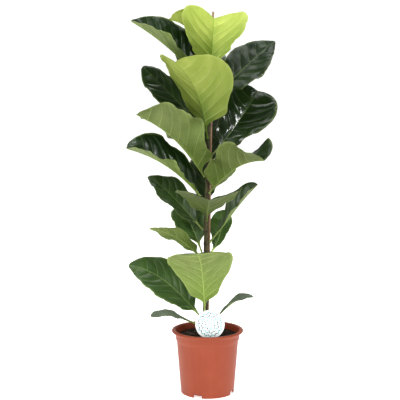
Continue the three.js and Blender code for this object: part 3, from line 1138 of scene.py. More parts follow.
    def _stalk(self, shape: LeafShape, rows: Array) -> tuple[Array, Array]:
        """The stalk's centre line and its radius: a swollen foot that narrows at once.

        Args:
            shape: The leaf's surface.
            rows: Lengths from the stalk's foot.

        Returns:
            The centres and the radii there.
        """
        share = rows / max(shape.stalk, 1e-6)
        radius = self.stalk_radius + (self.stalk_foot - self.stalk_radius) * (1 - smooth(0, 0.35, share))
        return shape.midrib(rows), radius

    def _normals(self, grid: Array) -> Array:
        """The direction out of the leaf's upper face at each vertex of its grid.

        Args:
            grid: The vertices' places, rows along the leaf by columns across it.

        Returns:
            The unit directions.
        """
        along = np.gradient(grid, axis=0)
        across = np.gradient(grid, axis=1)
        along[-1] = along[-2]
        return unit(np.cross(across, along))

    def _waves(self, rng: np.random.Generator, grid: LeafGrid) -> Array:
        """How far the blade stands off its smooth surface: quilted between veins, ruffled at its edge.

        Args:
            rng: The leaf's own random numbers.
            grid: The leaf's grid.

        Returns:
            The heights, in metres.
        """
        u, v, share, sides = grid.u, grid.v, grid.share, grid.sides
        shape, veins = grid.shape, grid.veins
        scale = min(1.0, shape.width / self.full_width)
        puff = np.zeros(u.shape)
        for side in Side:
            mine = sides == side.value
            stops = np.concatenate([[-0.03], veins[0 if side is Side.RIGHT else 1 :: 2], [1.03]])
            slot = np.clip(np.searchsorted(stops, u[:, mine], side="right") - 1, 0, len(stops) - 2)
            inside = (u[:, mine] - stops[slot]) / (stops[slot + 1] - stops[slot])
            lift = rng.uniform(0.6, 1.3, len(stops))[slot]
            reach = smooth(0, 0.25, v[:, mine]) * (1 - smooth(0.7, 1, v[:, mine]))
            puff[:, mine] = self.quilt * scale * lift * np.sin(math.pi * inside) * reach
        spots = zip((share * shape.blade).ravel(), (v * sides * shape.width).ravel(), strict=True)
        spots = [Vector((a, b, 0)) for a, b in spots]
        deep = Vector((0, 0, self.seed * 3.7))
        coarse, fine = self.dimple_scales
        dimple = [noise.noise(p * coarse + deep) + 0.45 * noise.noise(p * fine + deep) for p in spots]
        dimple = np.reshape(dimple, share.shape)
        puff = puff + self.dimple * scale * dimple * smooth(0.03, 0.2, v)
        phase = rng.uniform(0, 2 * math.pi, 4)
        turn = np.where(sides > 0, phase[0], phase[1])
        waves = 4.0 + 1.6 * rng.random()
        ruffle = np.sin(2 * math.pi * waves * share + turn)
        ruffle = ruffle + 0.45 * np.sin(5 * math.pi * waves * share + phase[2])
        ruffle = self.ruffle * scale * ruffle * v**3 * np.sin(math.pi * np.clip(share, 0, 1)) ** 0.7
        return puff + ruffle - self.roll * scale * smooth(0.86, 1, v)

    def _faces(self, rows: int, cols: int) -> list[tuple[int, ...]]:
        """The faces over both skins of the leaf, round its edge and over the stalk's foot.

        Args:
            rows: How many rows of vertices lie along the leaf.
            cols: How many lie across it.

        Returns:
            The faces.
        """
        faces: list[tuple[int, ...]] = []
        low = rows * cols
        for i in range(rows - 1):
            for j in range(cols - 1):
                a = i * cols + j
                faces.append((a, a + 1, a + cols + 1, a + cols))
                faces.append((low + a, low + a + cols, low + a + cols + 1, low + a + 1))
            a = i * cols
            faces.append((a, a + cols, low + a + cols, low + a))
            b = a + cols - 1
            faces.append((b, low + b, low + b + cols, b + cols))
        foot = list(range(low, low + cols)) + list(range(cols - 1, -1, -1))
        faces.append(tuple(foot))
        a = (rows - 1) * cols
        for j in range(cols - 1):
            faces.append((a + j, a + j + 1, low + a + j + 1, low + a + j))
        return faces

    def dress(self, material: bpy.types.Material) -> None:
        """Puts the leaf's finish on it."""
        self.piece.data.materials.append(material)


YOUNG = LeafFinish(
    name="leaf_young",
    top=srgb(84, 112, 38),
    top_light=srgb(120, 146, 56),
    under=srgb(164, 182, 80),
    under_light=srgb(194, 205, 108),
    base_under=srgb(104, 132, 48),
    vein_top=srgb(182, 200, 110),
    vein_under=srgb(214, 222, 144),
    rib_under=srgb(132, 160, 66),
    glow=srgb(190, 214, 84),
    glow_share=0.26,
    gloss=0.4,
    coat=0.1,
)

MATURE = LeafFinish(
    name="leaf_mature",
    top=srgb(22, 38, 16),
    top_light=srgb(38, 62, 26),
    under=srgb(104, 119, 64),
    under_light=srgb(129, 142, 84),
    base_under=srgb(124, 150, 62),
    vein_top=srgb(128, 152, 88),
    vein_under=srgb(186, 200, 130),
    rib_under=srgb(184, 202, 116),
    glow=srgb(120, 170, 60),
    glow_share=0.1,
    gloss=0.31,
    coat=0.12,
)

GLOSSY = replace(MATURE, name="leaf_glossy", gloss=0.2, coat=0.3)

# The lower leaves' finish: a paler top, partly their own colour and partly painted sheen, less glossy than
# the mature finish.
LOWER = replace(
    MATURE,
    name="leaf_lower",
    top=srgb(44, 66, 30),
    top_light=srgb(72, 98, 48),
    vein_top=srgb(150, 172, 106),
    gloss=0.37,
    coat=0.06,
)

# The lowest leaves' finish: a grey top colour that is painted sheen, the grey reflection on their upper
# faces, on a matt surface without a coat.
PAINTED_SHEEN = replace(
    LOWER,
    name="leaf_painted_sheen",
    top=srgb(84, 98, 80),
    top_light=srgb(112, 124, 104),
    gloss=0.44,
    coat=0.0,
)


@dataclass(frozen=True)
class LeafLook:
    """What sets one leaf's looks apart: its finish, how light it is (partly painted light and shade) and
    how far its edge ruffles.
    """

    finish: LeafFinish = MATURE
    tone: float = 1.0
    ruffle: float = 1.5 * MM


# Each tone scales a leaf's whole colour: partly its own shade of green, partly painted light and shade,
# such as the darkened leaf_lower_front and the brightened low back leaves.
LOOKS = {
    "leaf_crown_front": LeafLook(YOUNG, 1.36, 2.2 * MM),
    "leaf_crown_left": LeafLook(YOUNG),
    "leaf_upper_front": LeafLook(YOUNG, 0.82),
    "leaf_upper_left": LeafLook(ruffle=2.4 * MM),
    "leaf_upper_right": LeafLook(tone=0.7),
    "leaf_middle_left_high": LeafLook(tone=0.8),
    "leaf_middle_left_light": LeafLook(tone=0.78, ruffle=3.4 * MM),
    "leaf_middle_left_low": LeafLook(ruffle=2.6 * MM),
    "leaf_middle_right_glossy": LeafLook(GLOSSY, 0.75),
    "leaf_middle_right_light": LeafLook(tone=0.82, ruffle=3.0 * MM),
    "leaf_lower_front": LeafLook(tone=0.5),
    "leaf_lower_left": LeafLook(LOWER, 0.75),
    "leaf_lower_right": LeafLook(LOWER, 0.8),
    "leaf_low_back_left": LeafLook(LOWER, 1.5),
    "leaf_low_back_right": LeafLook(LOWER, 1.7),
    "leaf_low_left_light": LeafLook(LOWER),
    "leaf_foot_front": LeafLook(tone=1.06),
    "leaf_foot_left": LeafLook(LOWER, 1.2),
    "leaf_foot_back": LeafLook(LOWER),
    "leaf_lowest_left": LeafLook(PAINTED_SHEEN),
    "leaf_lowest_right": LeafLook(PAINTED_SHEEN),
}


@dataclass
class Foliage:
    """All the leaves, from the CAD model's leaf nodes."""

    leaves: list[Leaf] = field(default_factory=list)

    def build(self) -> None:
        """Builds every leaf that the frame has."""
        names = sorted(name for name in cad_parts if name.startswith("leaf_"))
        for seed, name in enumerate(names):
            look = LOOKS.get(name, LeafLook())
            leaf = Leaf(
                name=name,
                seed=seed + 1,
                finish=look.finish,
                slot=Slot.YOUNG_LEAF if look.finish is YOUNG else Slot.LEAF,
                tone=look.tone,
                ruffle=look.ruffle,
            )
            self.leaves.append(leaf.build())
            log.info("%s: %d faces", leaf.piece.name, len(leaf.piece.data.polygons))

    def dress(self) -> None:
        """Gives each leaf the finish of its age."""
        made = {finish: finish.material() for finish in {leaf.finish for leaf in self.leaves}}
        for leaf in self.leaves:
            leaf.dress(made[leaf.finish])

    def feet(self) -> list[Array]:
        """Where the stalks stand on the stem."""
        return [leaf.foot for leaf in self.leaves]


# ------------------------------------------------------------------------------------ pot and soil
@dataclass
class Pot:
    """The nursery pot: a tapered thin wall with a collar, a rolled lip and slots in its foot."""

    wall: float = 1.6 * MM
    lip_height: float = 8.0 * MM
    collar_height: float = 25.0 * MM
    collar_top: float = 77.5 * MM
    collar_bottom: float = 75.0 * MM
    ledge: float = 1.6 * MM
    foot: float = 63.0 * MM
    seat: float = 44.0 * MM
    gutter: float = 5.0 * MM
    floor: float = 1.8 * MM
    slot_width: float = 21.0 * MM
    slot_height: float = 9.0 * MM
    slot_depth: float = 13.0 * MM
    slot_angle: float = -22.0
    slots: int = 4
    segments: int = 192
    piece: bpy.types.Object | None = None

    def inner(self, z: float) -> float:
        """The wall's inner radius at a height.

        Args:
            z: The height above the pot's seat.

        Returns:
            The radius.
        """
        top = float(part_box("pot")[1].z)
        collar_foot = top - self.collar_height
        if z < collar_foot:
            share = z / collar_foot
            return self.foot + (self.collar_bottom - self.ledge - self.foot) * share - self.wall
        share = (z - collar_foot) / self.collar_height
        return self.collar_bottom + (self.collar_top - self.collar_bottom) * share - self.wall

    def _outer(self, z: float) -> float:
        """The outer radius of the body under the collar, or of the collar, at a height.

        Args:
            z: The height above the pot's seat.

        Returns:
            The radius.
        """
        collar_foot = float(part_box("pot")[1].z) - self.collar_height
        if z < collar_foot:
            return self.foot + (self.collar_bottom - self.ledge - self.foot) * z / collar_foot
        slope = (self.collar_top - self.collar_bottom) / self.collar_height
        return self.collar_bottom + slope * (z - collar_foot)

    def _profile(self) -> list[tuple[float, float]]:
        """The pot's section, from its seat out, up the wall, over the lip and down inside.

        Returns:
            The radius and height of each point.
        """
        lip, _, top = (float(c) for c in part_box("pot")[1])
        lip_foot = top - self.lip_height
        collar_foot = top - self.collar_height
        body_top = self.collar_bottom - self.ledge
        rib = collar_foot + 5.5 * MM
        inside = self.gutter + self.floor
        seat_foot = [
            (0.0, 0.0),
            (self.seat * 0.5, 0.0),
            (self.seat - 0.6 * MM, 0.0),
            (self.seat, 0.3 * MM),
            (self.seat + 3 * MM, self.gutter - 0.3 * MM),
            (self.seat + 3.6 * MM, self.gutter),
            (self.foot - 2.4 * self.wall, self.gutter),
            (self.foot - 2 * self.wall, self.gutter - 0.4 * MM),
            (self.foot - self.wall, 0.4 * MM),
            (self.foot - 0.8 * self.wall, 0.0),
            (self.foot - 0.5 * MM, 0.0),
            (self.foot, 0.7 * MM),
        ]
        body = [(self._outer(z), z) for z in np.linspace(2 * MM, collar_foot - 2.2 * MM, 24)]
        collar = [
            (body_top + 0.1 * MM, collar_foot - 1.2 * MM),
            (body_top + 0.5 * MM, collar_foot - 0.5 * MM),
            (self.collar_bottom - 0.35 * MM, collar_foot + 0.2 * MM),
            (self.collar_bottom, collar_foot + 1 * MM),
            (self._outer(rib - 0.8 * MM), rib - 0.8 * MM),
            (self._outer(rib) + 0.25 * MM, rib),
            (self._outer(rib + 0.8 * MM), rib + 0.8 * MM),
        ]
        collar += [(self._outer(z), z) for z in np.linspace(rib + 2 * MM, lip_foot - 3 * MM, 5)]
        rolled = [
            (self.collar_top + 0.2 * MM, lip_foot - 1.2 * MM),
            (self.collar_top + 0.9 * MM, lip_foot + 0.1 * MM),
            (self.collar_top + 2.4 * MM, lip_foot + 1.2 * MM),
            (lip - 2.6 * MM, lip_foot + 2.2 * MM),
            (lip - 1.0 * MM, lip_foot + 3.0 * MM),
            (lip - 0.25 * MM, lip_foot + 4.0 * MM),
            (lip, lip_foot + 5.0 * MM),
            (lip - 0.2 * MM, lip_foot + 6.0 * MM),
            (lip - 0.9 * MM, top - 1.1 * MM),
            (lip - 1.9 * MM, top - 0.5 * MM),
            (lip - 3.2 * MM, top - 0.15 * MM),
            (lip - 5.0 * MM, top),
            (self.collar_top - 0.2 * MM, top - 0.15 * MM),
            (self.inner(top) + 0.35 * MM, top - 0.6 * MM),
            (self.inner(top), top - 1.6 * MM),
        ]
        down = [*np.linspace(top - 4 * MM, collar_foot + 2 * MM, 8)]
        down += [*np.linspace(collar_foot - 1 * MM, self.gutter + 8 * MM, 12)]
        within = [(self.inner(z), z) for z in down]
        within += [
            (self.inner(inside) - 1.2 * MM, inside + 2 * MM),
            (self.inner(inside) - 4 * MM, inside),
            (self.seat - self.floor, inside),
            (self.seat - self.floor - 3 * MM, self.floor),
            (0.0, self.floor),
        ]
        return [*seat_foot, *body, *collar, *rolled, *within]

    def _cutter(self, index: int) -> bpy.types.Object:
        """The block with rounded upper corners that one slot removes.

        Args:
            index: Which slot, going round.

        Returns:
            The block as a loose piece.
        """
        angle = math.radians(self.slot_angle + 360 / self.slots * index)
        out = np.array([math.sin(angle), -math.cos(angle), 0])
        side = np.array([math.cos(angle), math.sin(angle), 0])
        half = self.slot_width / 2
        corner = 2.6 * MM
        outline = [(-half, -2 * MM), (half, -2 * MM)]
        for centre, start in ((half - corner, 0.0), (corner - half, 0.5 * math.pi)):
            for step in range(6):
                turn = start + step / 5 * math.pi / 2
                height = self.slot_height - corner + corner * math.sin(turn)
                outline.append((centre + corner * math.cos(turn), height))
        middle = self.foot - self.slot_depth / 2 + 3 * MM
        near, far = middle - self.slot_depth / 2, middle + self.slot_depth / 2
        points = []
        for r in (far, near):
            points += [out * r + side * x + np.array([0, 0, z]) for x, z in outline]
        count = len(outline)
        faces = [tuple(range(count)), tuple(range(2 * count - 1, count - 1, -1))]
        faces += [(k, k + count, (k + 1) % count + count, (k + 1) % count) for k in range(count)]
        return make_piece(f"slot_cutter_{index}", np.array(points), faces)

    def build(self) -> None:
        """Turns the pot and cuts its slots."""
        points, faces = lathe(self._profile(), self.segments)
        self.piece = make_piece("pot_shell", points, faces, crease=35)
        cutters = [self._cutter(i) for i in range(self.slots)]
        for cutter in cutters:
            cut = self.piece.modifiers.new("slot", "BOOLEAN")
            cut.operation = "DIFFERENCE"
            cut.solver = "EXACT"
            cut.object = cutter
        apply_modifiers(self.piece)
        for cutter in cutters:
            bpy.data.objects.remove(cutter)
        self.piece.data.shade_smooth()
        self.piece.data.set_sharp_from_angle(angle=math.radians(35))
        seat(self.piece, Slot.POT, "pot")
        log.info("pot: %d faces", len(self.piece.data.polygons))

    def dress(self) -> None:
        """Gives the pot its plastic."""
        self.piece.data.materials.clear()
        self.piece.data.materials.append(PotFinish().material())


@dataclass
class Soil:
    """The potting mix: a crumbly surface in the pot, with bark chips, lumps and a few dry twigs.

    The sizes of lumps, chips and twigs are the least and the most, in millimetres.
    """

    pot: Pot
    dome: float = 5.0 * MM
    clearance: float = 0.3 * MM
    segments: int = 120
    rings: int = 44
    lumps: int = 520
    chips: int = 120
    twigs: int = 16
    lump_sizes: tuple[float, float] = (0.9, 2.6)
    chip_sizes: tuple[float, float] = (1.6, 4.2)
    twig_lengths: tuple[float, float] = (12.0, 34.0)
    twig_radii: tuple[float, float] = (0.4, 0.9)
    piece: bpy.types.Object | None = None

    def _level(self, share: Array) -> Array:
        """The surface's mean height at a share of its radius."""
        top = float(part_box("soil")[1].z) - self.dome
        return top + self.dome * np.cos(np.asarray(share) * math.pi / 2)

    def _bed(self) -> tuple[Array, list[tuple[int, ...]]]:
        """The soil's body, with a crumbly upper face.

        Returns:
            The vertices and the faces.
        """
        edge = float(self._level(1.0))
        rim = self.pot.inner(edge) - self.clearance
        inside = self.pot.gutter + self.pot.floor
        shoulder = float(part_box("pot")[1].z) - self.pot.collar_height
        profile = [
            (0.0, self.pot.floor + self.clearance),
            (self.pot.seat - 6 * MM, self.pot.floor + self.clearance),
            (self.pot.seat - 2 * MM, inside + self.clearance),
            (self.pot.inner(inside) - 5 * MM, inside + self.clearance),
            (self.pot.inner(inside) - 2 * MM, inside + 5 * MM),
            (self.pot.inner(shoulder - MM) - 2 * self.clearance, shoulder - MM),
            (rim - self.clearance, edge - 2 * MM),
        ]
        sides = len(profile) - 1
        profile += [(rim * s, float(self._level(s))) for s in np.linspace(1, 0, self.rings)]
        points, faces = lathe(profile, self.segments)
        for i in range(sides * self.segments, len(points) - 2):
            x, y, z = points[i]
            share = math.hypot(x, y) / rim
            calm = 1 - float(smooth(0.9, 1.0, share))
            coarse = noise.noise(Vector((x, y, 0)) * 70)
            fine = noise.noise(Vector((x, y, 3)) * 210)
            points[i, 2] = z + (coarse * 2.2 * MM + fine * 1.4 * MM) * (0.35 + 0.65 * calm)
        points[-1, 2] = points[-1 - 2 - self.segments // 2, 2]
        return points, faces

    def build(self) -> None:
        """Makes the bed and scatters its pieces, all in one mesh."""
        rng = np.random.default_rng(7)
        points, faces = self._bed()
        kinds = {key: [np.zeros(len(points))] for key in ("chip", "twig", "tone")}
        meshes = [points]
        faces = list(faces)
        ball, ball_faces = self._ball()
        rim = self.pot.inner(float(self._level(1.0))) - 3 * MM
        for i in range(self.lumps + self.chips):
            chip = i >= self.lumps
            radius = rim * math.sqrt(rng.random()) * 0.985
            turn = rng.uniform(0, 2 * math.pi)
            size = rng.uniform(*(self.chip_sizes if chip else self.lump_sizes)) * MM
            if chip:
                scale = np.array([1, rng.uniform(0.4, 0.8), rng.uniform(0.22, 0.45)])
            else:
                scale = rng.uniform(0.6, 1.1, 3)
            shape = np.sign(ball) * np.abs(ball) ** (0.55 if chip else 1.0) * scale * size
            shape = shape * (1 + 0.22 * rng.standard_normal((len(ball), 1)) * (0.4 if chip else 1.0))
            shape = shape @ self._turn(rng, 0.5 if chip else 3.0).T
            middle = np.array([radius * math.cos(turn), radius * math.sin(turn), 0])
            middle[2] = float(self._level(radius / rim)) + rng.uniform(-0.3, 0.9) * size * 0.6
            faces += [tuple(v + sum(map(len, meshes)) for v in f) for f in ball_faces]
            meshes.append(shape + middle)
            kinds["chip"].append(np.full(len(ball), 1.0 if chip else 0.35))
            kinds["twig"].append(np.zeros(len(ball)))
            kinds["tone"].append(np.full(len(ball), rng.uniform(0.2, 1.0)))
        for _ in range(self.twigs):
            twig, twig_faces = self._twig(rng, rim)
            faces += [tuple(v + sum(map(len, meshes)) for v in f) for f in twig_faces]
            meshes.append(twig)
            kinds["chip"].append(np.zeros(len(twig)))
            kinds["twig"].append(np.ones(len(twig)))
            kinds["tone"].append(np.ones(len(twig)))
        attributes = {key: np.concatenate(parts) for key, parts in kinds.items()}
        self.piece = make_piece("soil_bed", np.concatenate(meshes), faces, attributes, crease=50)
        seat(self.piece, Slot.SOIL, "soil")
        log.info("soil: %d faces", len(self.piece.data.polygons))

    def _ball(self) -> tuple[Array, list[tuple[int, ...]]]:
        """A unit ball of even triangles, which lumps and chips are made from.

        Returns:
            The vertices and the faces.
        """
        ball = bmesh.new()
        bmesh.ops.create_icosphere(ball, subdivisions=2, radius=1.0)
        points = np.array([v.co for v in ball.verts])
        faces = [tuple(v.index for v in f.verts) for f in ball.faces]
        ball.free()
        return points, faces

    def _turn(self, rng: np.random.Generator, tilt: float) -> Array:
        """A random turn about the vertical, tipped over a little.

        Args:
            rng: The soil's random numbers.
            tilt: The most that it tips, in radians.

        Returns:
            The rotation matrix.
        """
        spin = rng.uniform(0, 2 * math.pi)
        tip = rng.uniform(-tilt, tilt)
        c, s = math.cos(spin), math.sin(spin)
        k, t = math.cos(tip), math.sin(tip)
        return np.array([[c, -s, 0], [s, c, 0], [0, 0, 1]]) @ np.array([[1, 0, 0], [0, k, -t], [0, t, k]])

    def _twig(self, rng: np.random.Generator, rim: float) -> tuple[Array, list[tuple[int, ...]]]:
        """A bent dry twig lying on the soil.

        Args:
            rng: The soil's random numbers.
            rim: The radius that the twigs keep inside.

        Returns:
            The vertices and the faces.
        """
        length = rng.uniform(*self.twig_lengths) * MM
        turn = rng.uniform(0, 2 * math.pi)
        middle = rim * 0.62 * math.sqrt(rng.random()) * np.array([math.cos(turn), math.sin(turn)])
        heading = rng.uniform(0, math.pi)
        bend = rng.uniform(-0.3, 0.3)
        radius = rng.uniform(*self.twig_radii) * MM
        sides, steps = 7, 9
        rings = []
        for step in range(steps):
            t = step / (steps - 1) - 0.5
            a = heading + bend * t * 2
            x, y = middle + length * t * np.array([math.cos(a), math.sin(a)])
            share = min(1.0, math.hypot(x, y) / rim)
            z = float(self._level(share)) + 1.5 * MM + noise.noise(Vector((x, y, 0)) * 70) * 1.5 * MM
            across = np.array([-math.sin(a), math.cos(a), 0])
            for k in range(sides):
                turn_k = 2 * math.pi * k / sides
                thick = radius * (1 - 0.4 * abs(t))
                around = across * math.cos(turn_k) + np.array([0, 0, math.sin(turn_k)])
                rings.append(np.array([x, y, z]) + thick * around)
        return np.array(rings), tube_faces(steps, sides)

    def dress(self) -> None:
        """Gives the mix its colours."""
        self.piece.data.materials.append(SoilFinish().material())


# ------------------------------------------------------------------------------------ stem, bud and cane
def ring_line(name: str) -> tuple[Array, Array, Array]:
    """The rings of an upright CAD body: their heights, centres and radii.

    Args:
        name: The CAD node.

    Returns:
        The heights, rising, with one centre and one radius for each.
    """
    corners = node_corners(name)
    levels = np.unique(np.round(corners[:, 2], 4))
    heights, centres, radii = [], [], []
    for level in levels:
        ring = corners[np.abs(corners[:, 2] - level) < 0.2 * MM]
        middle = (ring.max(axis=0) + ring.min(axis=0)) / 2
        radius = np.linalg.norm(ring[:, :2] - middle[:2], axis=1).max() if len(ring) > 2 else 0.0
        if heights and level - heights[-1] < 0.3 * MM:
            continue
        heights.append(level)
        centres.append(middle)
        radii.append(radius)
    return np.array(heights), np.array(centres), np.array(radii)


def upright_tube(centres: Array, radii: Array, name: str, attributes: dict[str, Array]) -> bpy.types.Object:
    """A closed tube of level rings.

    Args:
        centres: Each ring's centre, from the foot up.
        radii: The radius of each ring at each of its vertices, a row for each ring.
        name: The piece's name.
        attributes: A number for each ring, by name.

    Returns:
        The piece.
    """
    rings, sides = radii.shape
    turns = np.arange(sides) * 2 * math.pi / sides
    round_ = np.stack([np.cos(turns), np.sin(turns), np.zeros(sides)], axis=1)
    points = centres[:, None] + round_[None] * radii[..., None]
    spread = {key: np.repeat(values, sides) for key, values in attributes.items()}
    return make_piece(name, points.reshape(-1, 3), tube_faces(rings, sides), spread, crease=50)


@dataclass
class Stem:
    """The woody stem, ringed by leaf scars where the stalks stand."""

    feet: list[Array]
    sides: int = 36
    step: float = 1.2 * MM
    piece: bpy.types.Object | None = None

    def build(self) -> None:
        """Makes the stem from the CAD stem's line, with bark and scars in relief."""
        heights, centres, radii = ring_line("stem")
        z = np.arange(heights[0], heights[-1], self.step)
        z = np.append(z, heights[-1])
        line = curve_through(heights, centres, z)
        radius = curve_through(heights, radii, z)
        scars = np.zeros(len(z))
        for foot in self.feet:
            scars = np.maximum(scars, np.exp(-(((z - foot[2] + 3 * MM) / (1.3 * MM)) ** 2)))
            swell = np.exp(-(((z - foot[2]) / (7 * MM)) ** 2))
            radius = radius + 0.3 * MM * swell
        relief = np.zeros((len(z), self.sides))
        for i, height in enumerate(z):
            for k in range(self.sides):
                a = 2 * math.pi * k / self.sides
                spot = Vector((math.cos(a) * 5, math.sin(a) * 5, height * 60))
                relief[i, k] = noise.noise(spot) * 0.28 * MM + noise.noise(spot * 3.1) * 0.14 * MM
        body = radius[:, None] + relief + (0.45 * MM * scars)[:, None]
        height = (z - z[0]) / (z[-1] - z[0])
        self.piece = upright_tube(line, body, "stem_bark", {"height": height, "scar": scars})
        seat(self.piece, Slot.BARK, "stem")
        log.info("stem: %d faces", len(self.piece.data.polygons))

    def dress(self) -> None:
        """Gives the stem its bark."""
        self.piece.data.materials.append(BarkFinish().material())


@dataclass
class Bud:
    """The growing point: a pointed sheath, ribbed and slightly twisted."""

    sides: int = 32
    rings: int = 60
    twist: float = 1.6
    piece: bpy.types.Object | None = None

    def build(self) -> None:
        """Makes the bud from the CAD bud's rings."""
        heights, centres, radii = ring_line("terminal_bud")
        z = heights[0] + (heights[-1] - heights[0]) * np.linspace(0, 1, self.rings) ** 0.9
        line = curve_through(heights, centres, z)
        radius = np.maximum(curve_through(heights, radii, z), 0.12 * MM)
        share = (z - z[0]) / (z[-1] - z[0])
        turns = np.arange(self.sides) * 2 * math.pi / self.sides
        seam = np.cos(turns[None] + self.twist * share[:, None] * 2)
        overlap = 1 + 0.16 * smooth(0.55, 0.95, seam) * np.sin(math.pi * share[:, None]) ** 0.5
        ribs = 1 + 0.03 * np.cos(9 * turns[None] + self.twist * 4 * share[:, None])
        body = radius[:, None] * overlap * ribs
        self.piece = upright_tube(line, body, "bud_sheath", {"height": share})
        seat(self.piece, Slot.BUD, "terminal_bud")
        log.info("bud: %d faces", len(self.piece.data.polygons))

    def dress(self) -> None:
        """Gives the bud its sheath."""
        self.piece.data.materials.append(BudFinish().material())


@dataclass
class Cane:
    """The bamboo cane: a straight culm with ridged nodes and a cut, hollow top."""

    sides: int = 32
    step: float = 2.0 * MM
    bore: float = 0.42
    bore_depth: float = 6.0 * MM
    piece: bpy.types.Object | None = None

    def build(self) -> None:
        """Makes the culm along the CAD cane, with a ridge and a groove at each of its nodes."""
        heights, centres, radii = ring_line("bamboo_cane")
        plain = float(np.median(radii))
        joints = heights[radii > plain + 0.3 * MM]
        near = np.concatenate([joint + np.linspace(-4, 4, 17) * MM for joint in joints])
        z = np.unique(np.concatenate([np.arange(heights[0], heights[-1], self.step), near, [heights[-1]]]))
        z = z[np.concatenate([[True], np.diff(z) > 0.2 * MM])]
        ends = np.array([centres[0], centres[-1]])
        line = curve_through(np.array([heights[0], heights[-1]]), ends, z)
        radius = np.full(len(z), plain)
        ring = np.zeros(len(z))
        for joint in joints:
            away = z - joint
            radius = radius + 0.75 * MM * np.exp(-((away / (1.5 * MM)) ** 2))
            radius = radius - 0.35 * MM * np.exp(-(((away + 2.2 * MM) / (0.6 * MM)) ** 2))
            ring = np.maximum(ring, np.exp(-(((away + 2.2 * MM) / (0.8 * MM)) ** 2)))
        ring = np.maximum(ring, 0.7 * smooth(heights[-1] - 0.6 * MM, heights[-1], z))
        inner = [0.94, 0.8, self.bore, self.bore * 0.96]
        drop = [0.0, 0.15 * MM, 0.4 * MM, self.bore_depth]
        line = np.vstack([line, [line[-1] - np.array([0, 0, d]) for d in drop]])
        radius = np.concatenate([radius, [plain * share for share in inner]])
        # Down the bore the ring mask rises to full at its floor: painted shade in the hollow.
        ring = np.concatenate([ring, [0.4, 0.3, 0.6, 1.0]])
        body = np.repeat(radius[:, None], self.sides, axis=1)
        self.piece = upright_tube(line, body, "cane_culm", {"ring": ring})
        seat(self.piece, Slot.BAMBOO, "bamboo_cane")
        log.info("cane: %d faces", len(self.piece.data.polygons))

    def dress(self) -> None:
        """Gives the cane its bamboo."""
        self.piece.data.materials.append(BambooFinish().material())


